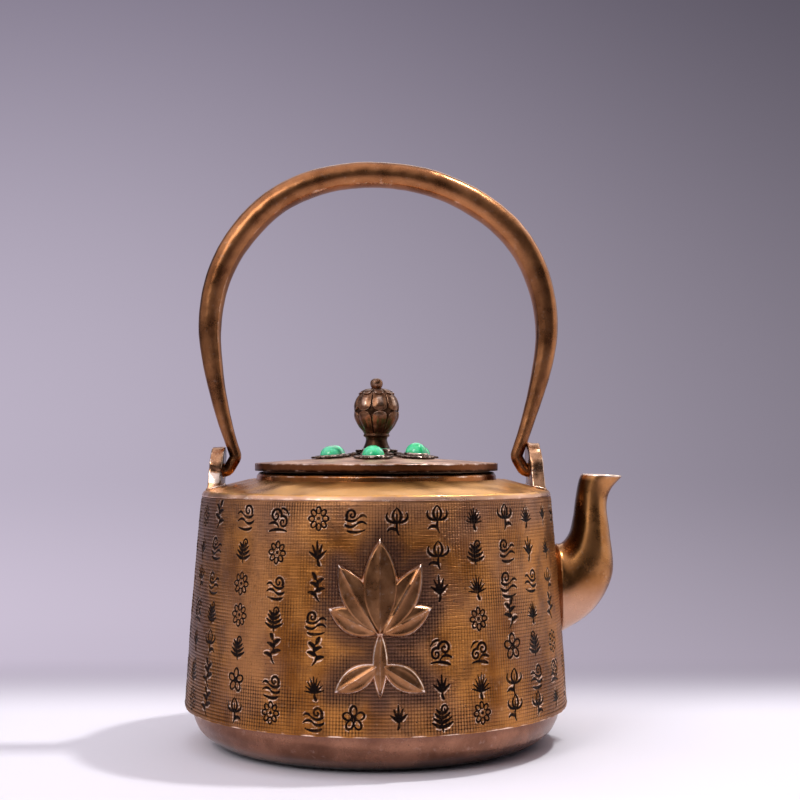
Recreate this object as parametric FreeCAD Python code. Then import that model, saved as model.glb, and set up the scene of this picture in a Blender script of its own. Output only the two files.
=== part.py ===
import FreeCAD, Part
import math
import os

from FreeCAD import Vector

# Bronze teapot with a bail handle. Millimetres, Z up, X towards the spout, the front faces -Y.
# The origin is the middle of the flat base that it stands on.

# Play between pieces
braze_gap = 0.1          # left in every brazed or cemented seat
running_gap = 0.3        # left between pieces that move past each other
overrun = 3.0            # how far a cutting shape passes through what it cuts

# Wall: a cone that swells a little between its two edges
wall_foot_radius = 72.0
wall_top_radius = 66.2
wall_foot_height = 14.2
wall_height = 78.2
wall_swell = 0.35
wall_thickness = 2.4

# Base pan, set in under the wall's lower edge
pan_corner_radius = 9.5
pan_thickness = 2.2
pan_overlap = 4.0

# Shoulder plate on the wall's upper edge
shoulder_rim_height = 1.8
shoulder_rim_taper = 1.0
shoulder_rise = 4.5
shoulder_thickness = 2.2
neck_groove_width = 2.2
neck_groove_depth = 0.8

# Neck collar
shoulder_width = 20.3    # from the wall's upper edge in to the collar
collar_thickness = 2.2
collar_stand = 3.6       # height above the groove
collar_tail = 1.2        # reach below the shoulder plate
collar_round = 0.9

# Lid
lid_overhang = 0.6       # reach of the lid's edge past the collar
lid_edge_height = 3.0
lid_edge_round = 0.5
lid_cone_rise = 3.1
lid_thickness = 2.2
lid_rim_width = 6.5
flange_depth = 7.2
flange_thickness = 1.6
flange_play = 0.35

# Knob: heights are measured up from its seat on the rosette
knob_flare_radius = 4.9
knob_flare_height = 1.1
knob_neck_radius = 3.9
knob_neck_height = 3.6
knob_ring_radius = 5.3
knob_ring_height = 6.4
knob_ring_thickness = 0.9
knob_bulb_radius = 8.9
knob_bulb_height = 15.6
knob_cap_radius = 6.4
knob_cap_height = 21.0
knob_bead_radius = 2.4
knob_height = 27.5
knob_bore_depth = 9.0

# Rosette under the knob
rosette_radius = 11.3
rosette_edge_thickness = 1.2
rosette_hub_radius = 6.2
rosette_hub_height = 2.3
rosette_petal_count = 8
rosette_hole_radius = 1.1

# Stud, washer and nut that hold the knob
screw_radius = 1.8
washer_radius = 5.0
washer_thickness = 0.8
nut_radius = 3.9         # to its corners
nut_height = 2.6
nut_sides = 6
screw_tail = 0.8

# Gems and their settings, in a ring on the lid
gem_count = 6
gem_ring_radius = 18.8
gem_first_angle = -97.0  # degrees from the X axis, seen from above
gem_radius = 4.1
gem_girdle = 1.0
gem_dome = 3.7
setting_radius = 7.0
setting_thickness = 0.9
setting_petal_count = 9
setting_hole_radius = 0.55
bezel_wall = 0.5
bezel_height = 1.3

# Ears
ear_thickness = 4.9
ear_foot_width = 24.0
ear_head_radius = 9.2
ear_edge_round = 0.7
ear_setback = 4.9        # middle of the ear, in from the wall's upper edge
ear_lean = 4.0           # degrees, towards the pot's axis
pivot_rise = 6.4         # pivot line above the shoulder under the ear

# Bail handle
pin_radius = 2.15
pin_length = 4.2         # reach of the pin past the ear's inner face
pin_play = 0.8           # all round the pin in its loose hole
hook_setback = 1.9       # corner between pin and hook, in from the ear
hook_corner_radius = 2.3
elbow_radius = 2.55
leg_foot_radius = 2.25   # half the leg's thickness at the elbow
elbow_inset = 5.1        # elbow's distance in from the ear
elbow_rise = 5.5         # elbow's height over the pivot line
bail_overhang = 3.5      # widest part of the arch, out past the middle of the ear
bail_spring_height = 53.4  # widest level of the arch over the pivot line
bail_arch_rise = 60.1
bail_thickness = 10.4
bail_depth = 11.6
bail_squareness = 2.5    # exponent of the rounded section, 2 is an ellipse
leg_curve_power = 1.55

# Spout
spout_foot_height = 41.5
spout_rise = 58.7
spout_reach = 25.0
spout_half_width = 13.0
spout_thickness = 1.6

# Raised lotus emblem on the wall
relief_width = 35.6
relief_height = 53.8
relief_middle_height = 53.5
relief_thickness = 2.2

# Tables of shares
# Spout sections from the pot outwards: upper x, upper z, lower x, lower z, half width.
# x is a share of the reach past the wall, z of the rise over the foot, width of the half width.
spout_section_shares = [
    (-0.36, 0.511, -0.36, 0.026, 0.94),
    (0.00, 0.535, 0.07, 0.000, 1.00),
    (0.175, 0.610, 0.55, 0.123, 0.94),
    (0.244, 0.715, 0.84, 0.349, 0.79),
    (0.276, 0.814, 0.81, 0.613, 0.61),
    (0.304, 0.894, 0.76, 0.792, 0.51),
    (0.332, 0.956, 0.824, 0.901, 0.49),
    (0.368, 1.000, 1.000, 0.990, 0.52),
]
# Knob: swell of each stretch as a share of its height, and radii as shares of their neighbour's
bud_foot_bulge_share = 0.17
bud_top_bulge_share = 0.19
cap_bulge_share = 0.22
neck_top_share = 0.94
bead_neck_share = 0.6
# A flower's lobes overlap their neighbours by this much
lobe_overlap_share = 1.12
# Stations up the leg, as shares of its drop, and thickening from the leg's foot (0) to the full
# section (1)
leg_shares = [1.0, 0.88, 0.72, 0.5, 0.26, 0.0]
leg_growth_shares = [0.0, 0.02, 0.09, 0.27, 0.54, 0.70]
arch_angles = [22.5, 45.0, 67.5, 90.0]
arch_growth_shares = [0.88, 1.0, 0.96, 0.90]
# Lotus emblem: angle from upright, length and width as shares of the emblem's height and width,
# and the level of the root as a share of the height
relief_petal_shares = [
    (0.0, 0.62, 0.36, 0.38),
    (30.0, 0.53, 0.31, 0.38),
    (-30.0, 0.53, 0.31, 0.38),
    (64.0, 0.365, 0.27, 0.40),
    (-64.0, 0.365, 0.27, 0.40),
    (180.0, 0.44, 0.14, 0.44),
    (122.0, 0.34, 0.23, 0.22),
    (-122.0, 0.34, 0.23, 0.22),
]

full_turn = 360.0
half_ring_points = 8     # steps round half a lofted section

# Heights and radii that follow from the sizes above
collar_radius = wall_top_radius - shoulder_width
lid_radius = collar_radius + lid_overhang
ear_centre_radius = wall_top_radius - ear_setback
bail_half_width = ear_centre_radius + bail_overhang
wall_top_height = wall_foot_height + wall_height
rim_foot_height = wall_top_height + braze_gap
rim_top_height = rim_foot_height + shoulder_rim_height
rim_top_radius = wall_top_radius - shoulder_rim_taper
plate_hole_radius = collar_radius + braze_gap
groove_edge_radius = plate_hole_radius + neck_groove_width
groove_edge_height = rim_top_height + shoulder_rise
groove_foot_height = groove_edge_height - neck_groove_depth
collar_top_height = groove_foot_height + collar_stand
collar_foot_height = groove_foot_height - shoulder_thickness - collar_tail
collar_inner_radius = collar_radius - collar_thickness
lid_seat_height = collar_top_height + running_gap
lid_edge_top = lid_seat_height + lid_edge_height
lid_slope = lid_cone_rise / lid_radius
flange_radius = collar_inner_radius - flange_play
pan_top_height = wall_foot_height + pan_overlap
spout_root_radius = wall_foot_radius - wall_thickness
elbow_half_width = ear_centre_radius - ear_thickness / 2 - elbow_inset


def wall_radius_at(height):
    """Outer radius of the wall: a straight cone plus a parabola that is zero at both edges."""
    share = (height - wall_foot_height) / wall_height
    cone = wall_foot_radius + (wall_top_radius - wall_foot_radius) * share
    return cone + 4 * wall_swell * share * (1 - share)


def shoulder_height_at(radius):
    """Top of the shoulder plate between its rim and the groove."""
    share = (rim_top_radius - radius) / (rim_top_radius - groove_edge_radius)
    return rim_top_height + shoulder_rise * share


def lid_height_at(radius):
    """Top of the lid's cone."""
    return lid_edge_top + lid_slope * (lid_radius - radius)


def outline_edges(start, steps):
    """Edges in the XZ plane. A step is (end,) for a line or (middle, end) for an arc."""
    edges = []
    here = Vector(start[0], 0, start[1])
    for step in steps:
        end = Vector(step[-1][0], 0, step[-1][1])
        if len(step) == 1:
            edges.append(Part.LineSegment(here, end).toShape())
        else:
            middle = Vector(step[0][0], 0, step[0][1])
            edges.append(Part.Arc(here, middle, end).toShape())
        here = end
    return edges


def outline_face(start, steps):
    """The closed outline as a face."""
    return Part.Face(Part.Wire(outline_edges(start, steps)))


def outward(solid):
    """The solid with its faces pointing outwards."""
    if solid.Volume < 0:
        solid.reverse()
    return solid


def turned(start, steps):
    """The closed outline turned about the pot's axis."""
    return outward(outline_face(start, steps).revolve(Vector(0, 0, 0), Vector(0, 0, 1), full_turn))


def clean(shape):
    """The shape without needless seams, as a plain solid where it is one."""
    merged = shape.removeSplitter()
    return merged.Solids[0] if len(merged.Solids) == 1 else merged


def lens_middle(start, end, bulge):
    """Middle point of an arc from start to end that stands off their chord by the bulge."""
    run = end[0] - start[0]
    rise = end[1] - start[1]
    length = math.hypot(run, rise)
    middle_x = (start[0] + end[0]) / 2 + bulge * rise / length
    middle_z = (start[1] + end[1]) / 2 - bulge * run / length
    return (middle_x, middle_z)


def wall_envelope(extra):
    """Everything inside the wall's outer face moved out by extra."""
    middle_height = wall_foot_height + wall_height / 2
    top = (wall_top_radius + extra, wall_top_height)
    middle = (wall_radius_at(middle_height) + extra, middle_height)
    foot = (wall_foot_radius + extra, wall_foot_height)
    steps = [(foot,), (middle, top), ((0, wall_top_height),), ((0, wall_foot_height),)]
    envelope = turned((0, wall_foot_height), steps)
    # Its seam goes to the back, clear of the spout's port and the emblem
    envelope.rotate(Vector(0, 0, 0), Vector(0, 0, 1), full_turn / 4)
    return envelope


def body_wall():
    """The wall's shell, with the port that lets into the spout."""
    shell = wall_envelope(0).cut(wall_envelope(-wall_thickness))
    return clean(shell.cut(spout_passage()))


def base_pan():
    """A flat-bottomed pan with round corners, its straight edge up inside the wall."""
    outer = wall_radius_at(pan_top_height) - wall_thickness - braze_gap
    inner = outer - pan_thickness
    corner_middle = pan_corner_radius * (1 - math.sqrt(0.5))
    inner_corner = pan_corner_radius - pan_thickness
    inner_middle = inner_corner * (1 - math.sqrt(0.5))
    flat_radius = outer - pan_corner_radius
    steps = [
        ((flat_radius, 0),),
        ((outer - corner_middle, corner_middle), (outer, pan_corner_radius)),
        ((outer, pan_top_height),),
        ((inner, pan_top_height),),
        ((inner, pan_corner_radius),),
        ((inner - inner_middle, pan_thickness + inner_middle), (flat_radius, pan_thickness)),
        ((0, pan_thickness),),
        ((0, 0),),
    ]
    return turned((0, 0), steps)


def shoulder_plate():
    """The sloping plate, with a rim on the wall and a groove round the collar's hole."""
    rim_inner = wall_top_radius - wall_thickness
    steps = [
        ((rim_top_radius, rim_top_height),),
        ((groove_edge_radius, groove_edge_height),),
        ((plate_hole_radius, groove_foot_height),),
        ((plate_hole_radius, groove_foot_height - shoulder_thickness),),
        ((groove_edge_radius, groove_foot_height - shoulder_thickness),),
        ((rim_inner, rim_foot_height),),
        ((wall_top_radius, rim_foot_height),),
    ]
    return turned((wall_top_radius, rim_foot_height), steps)


def shoulder_envelope(extra):
    """Everything under the shoulder's sloping top moved up by extra."""
    low = rim_foot_height - overrun
    steps = [
        ((rim_top_radius + overrun, low),),
        ((rim_top_radius + overrun, shoulder_height_at(rim_top_radius + overrun) + extra),),
        ((groove_edge_radius, groove_edge_height + extra),),
        ((0, groove_edge_height + extra),),
        ((0, low),),
    ]
    return turned((0, low), steps)


def neck_collar():
    """The ring round the mouth, its upper outer edge rounded."""
    side = collar_top_height - collar_round
    round_middle = collar_round * (1 - math.sqrt(0.5))
    steps = [
        ((collar_radius, side),),
        ((collar_radius - round_middle, collar_top_height - round_middle),
         (collar_radius - collar_round, collar_top_height)),
        ((collar_inner_radius, collar_top_height),),
        ((collar_inner_radius, collar_foot_height),),
        ((collar_radius, collar_foot_height),),
    ]
    return turned((collar_radius, collar_foot_height), steps)


def lid_disc():
    """The lid: a thick rim with a flat seat, and a thinner cone with a hole for the stud."""
    hole = screw_radius + braze_gap
    rim_inner = lid_radius - lid_rim_width
    shelf = lid_height_at(rim_inner) - lid_thickness
    round_middle = lid_edge_round * (1 - math.sqrt(0.5))
    steps = [
        ((lid_radius, lid_edge_top - lid_edge_round),),
        ((lid_radius - round_middle, lid_edge_top - round_middle),
         (lid_radius - lid_edge_round, lid_height_at(lid_radius - lid_edge_round))),
        ((hole, lid_height_at(hole)),),
        ((hole, lid_height_at(hole) - lid_thickness),),
        ((rim_inner, shelf),),
        ((rim_inner, lid_seat_height),),
        ((lid_radius, lid_seat_height),),
    ]
    return turned((lid_radius, lid_seat_height), steps)


def lid_flange():
    """The ring under the lid that drops into the collar."""
    top = lid_seat_height - braze_gap
    foot = top - flange_depth
    inner = flange_radius - flange_thickness
    steps = [((flange_radius, top),), ((inner, top),), ((inner, foot),), ((flange_radius, foot),)]
    return turned((flange_radius, foot), steps)


def rosette_seat_height():
    """Underside of the rosette's hub, which stands on the lid's cone."""
    return lid_height_at(0) + braze_gap


def knob_seat_height():
    """Flat top of the rosette's hub, plus the seat's play."""
    return rosette_seat_height() + rosette_hub_height + braze_gap


def lobed_disc(radius, lobe_count, low, high):
    """A flower outline as a solid: one disc with a ring of smaller discs round it."""
    spread = math.sin(math.pi / lobe_count)
    lobe = radius * spread / (1 + spread) * lobe_overlap_share
    reach = radius - lobe
    flower = Part.makeCylinder(reach, high - low, Vector(0, 0, low))
    for index in range(lobe_count):
        angle = 2 * math.pi * index / lobe_count
        place = Vector(reach * math.cos(angle), reach * math.sin(angle), low)
        flower = flower.fuse(Part.makeCylinder(lobe, high - low, place))
    return flower


def ring_of_holes(hole_radius, reach, count, low, high):
    """Round drills, one in each lobe of a flower."""
    drills = []
    for index in range(count):
        angle = 2 * math.pi * index / count
        place = Vector(reach * math.cos(angle), reach * math.sin(angle), low)
        drills.append(Part.makeCylinder(hole_radius, high - low, place))
    return Part.makeCompound(drills)


def knob_rosette():
    """The pierced flower plate: a flat hub with petals that lie along the lid's cone."""
    low = rosette_seat_height()
    high = low + rosette_hub_height
    edge = lid_height_at(rosette_radius) + braze_gap
    hole = screw_radius + braze_gap
    steps = [
        ((rosette_radius, edge),),
        ((rosette_radius, edge + rosette_edge_thickness),),
        ((rosette_hub_radius, high),),
        ((hole, high),),
        ((hole, low),),
    ]
    plate = turned((hole, low), steps)
    flower = lobed_disc(rosette_radius, rosette_petal_count, edge - overrun, high + overrun)
    reach = (rosette_radius + rosette_hub_radius) / 2
    drills = ring_of_holes(rosette_hole_radius, reach, rosette_petal_count, edge - overrun, low + overrun)
    return clean(plate.common(flower).cut(drills))


def lotus_knob():
    """The turned bud: flare, neck, ring, bulb, cap and bead, with a blind bore for the stud."""
    seat = knob_seat_height()
    ring_foot = seat + knob_ring_height
    ring_top = ring_foot + knob_ring_thickness
    bulb = seat + knob_bulb_height
    cap = seat + knob_cap_height
    top = seat + knob_height
    bore = screw_radius + braze_gap
    bead_middle = top - knob_bead_radius
    bead_drop = knob_bead_radius * math.sqrt(1 - bead_neck_share ** 2)
    bead_neck = (knob_bead_radius * bead_neck_share, bead_middle - bead_drop)
    lower_half = (knob_ring_radius, ring_top)
    widest = (knob_bulb_radius, bulb)
    upper_half = (knob_cap_radius, cap)
    steps = [
        ((knob_flare_radius, seat + knob_flare_height),),
        ((knob_neck_radius, seat + knob_neck_height), (knob_ring_radius * neck_top_share, ring_foot)),
        ((knob_ring_radius, ring_foot),),
        (lower_half,),
        (lens_middle(lower_half, widest, (bulb - ring_top) * bud_foot_bulge_share), widest),
        (lens_middle(widest, upper_half, (cap - bulb) * bud_top_bulge_share), upper_half),
        (lens_middle(upper_half, bead_neck, (bead_neck[1] - cap) * cap_bulge_share), bead_neck),
        ((knob_bead_radius, bead_middle), (0, top)),
        ((0, seat + knob_bore_depth),),
        ((bore, seat + knob_bore_depth),),
        ((bore, seat),),
        ((knob_flare_radius, seat),),
    ]
    return turned((knob_flare_radius, seat), steps)


def washer_top_height():
    """Level under the lid where the washer's rim meets the cone."""
    return lid_height_at(washer_radius) - lid_thickness - braze_gap


def knob_washer():
    """The plain washer under the lid."""
    top = washer_top_height()
    ring = Part.makeCylinder(washer_radius, washer_thickness, Vector(0, 0, top - washer_thickness))
    low = top - washer_thickness - overrun
    hole = Part.makeCylinder(screw_radius + braze_gap, washer_thickness + 2 * overrun, Vector(0, 0, low))
    return clean(ring.cut(hole))


def knob_nut():
    """The many-sided nut under the washer."""
    low = washer_top_height() - washer_thickness - braze_gap - nut_height
    corners = []
    for index in range(nut_sides + 1):
        angle = 2 * math.pi * index / nut_sides
        corners.append(Vector(nut_radius * math.cos(angle), nut_radius * math.sin(angle), low))
    block = Part.Face(Part.makePolygon(corners)).extrude(Vector(0, 0, nut_height))
    drill = Part.makeCylinder(screw_radius + braze_gap, nut_height + 2 * overrun, Vector(0, 0, low - overrun))
    return clean(block.cut(drill))


def knob_screw():
    """The stud from under the nut up into the knob's bore."""
    low = washer_top_height() - washer_thickness - braze_gap - nut_height - screw_tail
    high = knob_seat_height() + knob_bore_depth - running_gap
    return Part.makeCylinder(screw_radius, high - low, Vector(0, 0, low))


def on_gem_place(shape, index):
    """A shape made at the origin, laid on the lid's cone at one of the gem places."""
    angle = gem_first_angle + full_turn * index / gem_count
    placed = shape.copy()
    placed.rotate(Vector(0, 0, 0), Vector(0, 1, 0), math.degrees(math.atan(lid_slope)))
    placed.translate(Vector(gem_ring_radius, 0, lid_height_at(gem_ring_radius) + braze_gap))
    placed.rotate(Vector(0, 0, 0), Vector(0, 0, 1), angle)
    return placed


def gem_setting():
    """A thin pierced flower with a bezel ring standing on it, made at the origin."""
    flower = lobed_disc(setting_radius, setting_petal_count, 0, setting_thickness)
    lobe_reach = (setting_radius + gem_radius + bezel_wall) / 2 + setting_hole_radius / 2
    drills = ring_of_holes(setting_hole_radius, lobe_reach, setting_petal_count, -overrun, overrun)
    bezel = Part.makeCylinder(gem_radius + braze_gap + bezel_wall, setting_thickness + bezel_height)
    cup = Part.makeCylinder(gem_radius + braze_gap, bezel_height + overrun, Vector(0, 0, setting_thickness))
    return clean(flower.fuse(bezel).cut(cup).cut(drills))


def gem():
    """A cabochon: a flat base, an upright girdle and a dome, made at the origin."""
    low = setting_thickness + braze_gap
    girdle = low + gem_girdle
    top = girdle + gem_dome
    ball = (gem_radius ** 2 + gem_dome ** 2) / (2 * gem_dome)
    half_turn = math.acos(1 - gem_dome / ball) / 2
    dome_middle = (ball * math.sin(half_turn), top - ball * (1 - math.cos(half_turn)))
    steps = [
        ((gem_radius, low),),
        ((gem_radius, girdle),),
        (dome_middle, (0, top)),
        ((0, low),),
    ]
    return turned((0, low), steps)


def pivot_height():
    """Level of the line that the handle swings about."""
    return shoulder_height_at(ear_centre_radius) + pivot_rise


def ear():
    """One ear, on the spout's side: a leaning slab with a round head and a level pivot hole."""
    pivot = pivot_height()
    low = rim_foot_height
    inner = ear_centre_radius - ear_thickness / 2
    half_foot = ear_foot_width / 2
    head = Part.Arc(
        Vector(inner, -ear_head_radius, pivot),
        Vector(inner, 0, pivot + ear_head_radius),
        Vector(inner, ear_head_radius, pivot),
    ).toShape()
    right = Part.LineSegment(Vector(inner, ear_head_radius, pivot), Vector(inner, half_foot, low)).toShape()
    foot = Part.LineSegment(Vector(inner, half_foot, low), Vector(inner, -half_foot, low)).toShape()
    left = Part.LineSegment(Vector(inner, -half_foot, low), Vector(inner, -ear_head_radius, pivot)).toShape()
    slab = Part.Face(Part.Wire([head, right, foot, left])).extrude(Vector(ear_thickness, 0, 0))
    rounded = [edge for edge in slab.Edges if abs(edge.BoundBox.XLength) < braze_gap / 2]
    slab = slab.makeFillet(ear_edge_round, rounded)
    heel = Vector(ear_centre_radius, 0, shoulder_height_at(ear_centre_radius))
    slab.rotate(heel, Vector(0, 1, 0), -ear_lean)
    hole = Part.makeCylinder(
        pin_radius + pin_play,
        ear_thickness + 2 * overrun,
        Vector(inner - overrun, 0, pivot),
        Vector(1, 0, 0),
    )
    return clean(slab.cut(hole).cut(shoulder_envelope(braze_gap)))


def section_point(centre, across, half_across, half_deep, squareness, turn):
    """A point of a rounded section: powers of cosine and sine, along across and along Y."""
    along = math.copysign(abs(math.cos(turn)) ** (2 / squareness), math.cos(turn))
    deep = math.copysign(abs(math.sin(turn)) ** (2 / squareness), math.sin(turn))
    return centre + across * (half_across * along) + Vector(0, half_deep * deep, 0)


def section_ring(centre, across, half_across, half_deep, squareness):
    """A rounded section as two smooth halves, which meet square to across."""
    halves = []
    for first in (0, half_ring_points):
        turns = [math.pi * (first + index) / half_ring_points for index in range(half_ring_points + 1)]
        points = [section_point(centre, across, half_across, half_deep, squareness, turn) for turn in turns]
        leaving = Vector(0, math.cos(turns[0]), 0)
        curve = Part.BSplineCurve()
        curve.interpolate(Points=points, InitialTangent=leaving, FinalTangent=leaving * -1)
        halves.append(curve.toShape())
    return Part.Wire(halves)


def bail_centreline():
    """Centres and growth of the right half, from the elbow up to the top of the arch."""
    elbow_height = pivot_height() + elbow_rise
    spring = pivot_height() + bail_spring_height
    stations = []
    for share, growth in zip(leg_shares, leg_growth_shares):
        x = bail_half_width - (bail_half_width - elbow_half_width) * share ** leg_curve_power
        stations.append(((x, spring - (spring - elbow_height) * share), growth))
    for angle, growth in zip(arch_angles, arch_growth_shares):
        x = bail_half_width * math.cos(math.radians(angle))
        stations.append(((x, spring + bail_arch_rise * math.sin(math.radians(angle))), growth))
    return stations


def bail_rings():
    """Sections from the right elbow to a little past the top of the arch."""
    half = bail_centreline()
    past_top = [((-x, z), growth) for (x, z), growth in reversed(half[-4:-1])]
    stations = half + past_top
    rings = []
    for index, ((x, z), growth) in enumerate(stations[:-1]):
        (x0, z0), _ = stations[max(index - 1, 0)]
        (x1, z1), _ = stations[index + 1]
        along = Vector(x1 - x0, 0, z1 - z0).normalize()
        across = Vector(along.z, 0, -along.x)
        half_across = leg_foot_radius + growth * (bail_thickness / 2 - leg_foot_radius)
        half_deep = leg_foot_radius + growth * (bail_depth / 2 - leg_foot_radius)
        squareness = 2 + min(1, 2 * growth) * (bail_squareness - 2)
        rings.append(section_ring(Vector(x, 0, z), across, half_across, half_deep, squareness))
    return rings


def bail_hook():
    """The right hook: a level pin, and a slanting rod from its corner up to the elbow."""
    pivot = pivot_height()
    ear_inner = ear_centre_radius - ear_thickness / 2
    corner = Vector(ear_inner - hook_setback, 0, pivot)
    elbow = Vector(elbow_half_width, 0, pivot + elbow_rise)
    pin = Part.makeCylinder(pin_radius, hook_setback + pin_length, corner, Vector(1, 0, 0))
    rod = Part.makeCone(pin_radius, leg_foot_radius, (elbow - corner).Length, corner, elbow - corner)
    knuckle = Part.makeSphere(hook_corner_radius, corner)
    return pin.fuse(rod).fuse(knuckle).fuse(Part.makeSphere(elbow_radius, elbow))


def bail_handle():
    """The handle: leg and arch lofted on one side, joined to the hook, then mirrored."""
    reach = bail_half_width + bail_thickness
    tall = pivot_height() + bail_spring_height + bail_arch_rise + bail_thickness
    keep = Part.makeBox(reach, 2 * bail_depth, tall, Vector(0, -bail_depth, 0))
    arch = outward(Part.makeLoft(bail_rings(), True, False)).common(keep)
    right = arch.fuse(bail_hook())
    left = right.mirror(Vector(0, 0, 0), Vector(1, 0, 0))
    return clean(right.fuse(left))


def spout_rings(shrink, lip_extra):
    """Sections of the spout. Each lies across the line from its upper to its lower point."""
    rings = []
    for upper_x, upper_z, lower_x, lower_z, width in spout_section_shares:
        upper = Vector(spout_root_radius + spout_reach * upper_x, 0, spout_foot_height + spout_rise * upper_z)
        lower = Vector(spout_root_radius + spout_reach * lower_x, 0, spout_foot_height + spout_rise * lower_z)
        across = (lower - upper).normalize()
        middle = (upper + lower) * 0.5
        half_across = (lower - upper).Length / 2 - shrink
        half_deep = spout_half_width * width - shrink
        rings.append(section_ring(middle, across, half_across, half_deep, 2))
    if lip_extra:
        beyond = rings[-1].copy()
        beyond.translate(Vector(0, 0, lip_extra))
        rings.append(beyond)
    return rings


def spout_passage():
    """The spout's hollow, which also cuts the port through the wall."""
    return outward(Part.makeLoft(spout_rings(spout_thickness, overrun), True, False))


def spout():
    """The spout's shell, cut to lie on the wall's outer face."""
    outside = outward(Part.makeLoft(spout_rings(0, 0), True, False))
    return clean(outside.cut(spout_passage()).cut(wall_envelope(braze_gap)))


def relief_petal(angle, length, width, root_height):
    """One almond-shaped blade of the emblem, as a bar along Y through the front of the wall."""
    tip = (length * math.sin(math.radians(angle)), root_height + length * math.cos(math.radians(angle)))
    root = (0, root_height)
    right = lens_middle(root, tip, width / 2)
    left = lens_middle(tip, root, width / 2)
    face = outline_face(root, [(right, tip), (left, root)])
    bar = face.extrude(Vector(0, wall_foot_radius, 0))
    bar.translate(Vector(0, -wall_foot_radius - relief_thickness - overrun, 0))
    return outward(bar)


def lotus_relief():
    """The raised lotus: its blades joined, then kept to a thin layer on the wall."""
    low = relief_middle_height - relief_height / 2
    blades = None
    for angle, length, width, root in relief_petal_shares:
        blade = relief_petal(angle, length * relief_height, width * relief_width, low + root * relief_height)
        blades = blade if blades is None else blades.fuse(blade)
    layer = blades.common(wall_envelope(braze_gap + relief_thickness))
    return clean(layer.cut(wall_envelope(braze_gap)))


def all_nodes():
    """Every piece by its node name."""
    spout_ear = ear()
    nodes = {
        "body_wall": body_wall(),
        "base_pan": base_pan(),
        "shoulder_plate": shoulder_plate(),
        "neck_collar": neck_collar(),
        "spout": spout(),
        "ear_spout_side": spout_ear,
        "ear_far_side": spout_ear.mirror(Vector(0, 0, 0), Vector(1, 0, 0)),
        "lotus_relief": lotus_relief(),
        "bail_handle": bail_handle(),
        "lid_disc": lid_disc(),
        "lid_flange": lid_flange(),
        "knob_rosette": knob_rosette(),
        "lotus_knob": lotus_knob(),
        "knob_washer": knob_washer(),
        "knob_nut": knob_nut(),
        "knob_screw": knob_screw(),
    }
    for index in range(gem_count):
        nodes["gem_setting_%d" % (index + 1)] = on_gem_place(gem_setting(), index)
        nodes["gem_%d" % (index + 1)] = on_gem_place(gem(), index)
    return nodes


os.makedirs("parts", exist_ok=True)
for name, shape in all_nodes().items():
    shape.exportStep("parts/" + name + ".step")
    box = shape.BoundBox
    print("%-18s valid %s solids %d volume %9.1f  x %7.2f %7.2f  y %7.2f %7.2f  z %7.2f %7.2f" % (
        name, shape.isValid(), len(shape.Solids), shape.Volume,
        box.XMin, box.XMax, box.YMin, box.YMax, box.ZMin, box.ZMax))
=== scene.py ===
# %% [markdown]
# A cast bronze teapot, dressed piece by piece. The solids of the pot come ready made and stay where they
# are. This lesson lays the surfaces over them that a maker would see from close by: the woven ground, the
# cut sprigs, the raised lotus, the petals of the knob. Every shape is a grid of points worked out with
# whole arrays, and every finish is a set of shader nodes.

# %% Load the solids
import math
import bpy
import numpy as np
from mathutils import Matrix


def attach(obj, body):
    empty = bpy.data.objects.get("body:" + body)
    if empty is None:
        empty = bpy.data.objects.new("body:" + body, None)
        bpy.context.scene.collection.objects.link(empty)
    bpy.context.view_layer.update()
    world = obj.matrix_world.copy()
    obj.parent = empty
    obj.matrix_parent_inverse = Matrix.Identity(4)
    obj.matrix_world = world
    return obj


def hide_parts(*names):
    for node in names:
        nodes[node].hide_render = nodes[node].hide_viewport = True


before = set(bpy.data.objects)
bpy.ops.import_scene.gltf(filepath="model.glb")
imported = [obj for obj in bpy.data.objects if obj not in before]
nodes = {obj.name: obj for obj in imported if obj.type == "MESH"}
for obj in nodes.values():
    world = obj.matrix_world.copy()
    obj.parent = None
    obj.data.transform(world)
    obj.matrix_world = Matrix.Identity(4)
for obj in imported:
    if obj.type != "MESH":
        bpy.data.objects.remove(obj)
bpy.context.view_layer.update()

# %% [markdown]
# The camera comes first, because it decides how large each detail has to be. The photograph was taken from
# a little over half a metre, about as high as the middle of the pot, and turned a touch to the right of it.
# A short telephoto lens keeps the curves round.

# %% Camera
picture_width = 800.0
focal_pixels = 1441.0
pot_below_middle, pot_left_of_middle = 50.0, 23.5
camera_distance, camera_height = 0.554, 0.1098
camera_azimuth = math.radians(-1.0)
camera_pitch = math.atan(pot_below_middle / focal_pixels)
camera_yaw = math.atan(pot_left_of_middle / focal_pixels)

camera = bpy.data.objects.new("camera", bpy.data.cameras.new("camera"))
camera.data.sensor_width = 36.0
camera.data.lens = focal_pixels / picture_width * camera.data.sensor_width
camera.location = (camera_distance * math.sin(camera_azimuth), -camera_distance * math.cos(camera_azimuth),
                   camera_height)
camera.rotation_euler = (math.pi / 2 + camera_pitch, 0.0, camera_azimuth - camera_yaw)
camera.data.clip_start = 0.02
bpy.context.scene.collection.objects.link(camera)
bpy.context.scene.camera = camera
print("lens", round(camera.data.lens, 1), "mm")

# %% [markdown]
# Surfaces are woven from grids. A grid of points has rows and columns; neighbours become four-sided faces.
# The columns may close round on themselves, as on a tube, and so may the rows, as on a ring. Where a whole
# row is one point, as at the tip of a dome, the faces there have three sides.

# %% Weave grids
MM = 0.001


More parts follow.
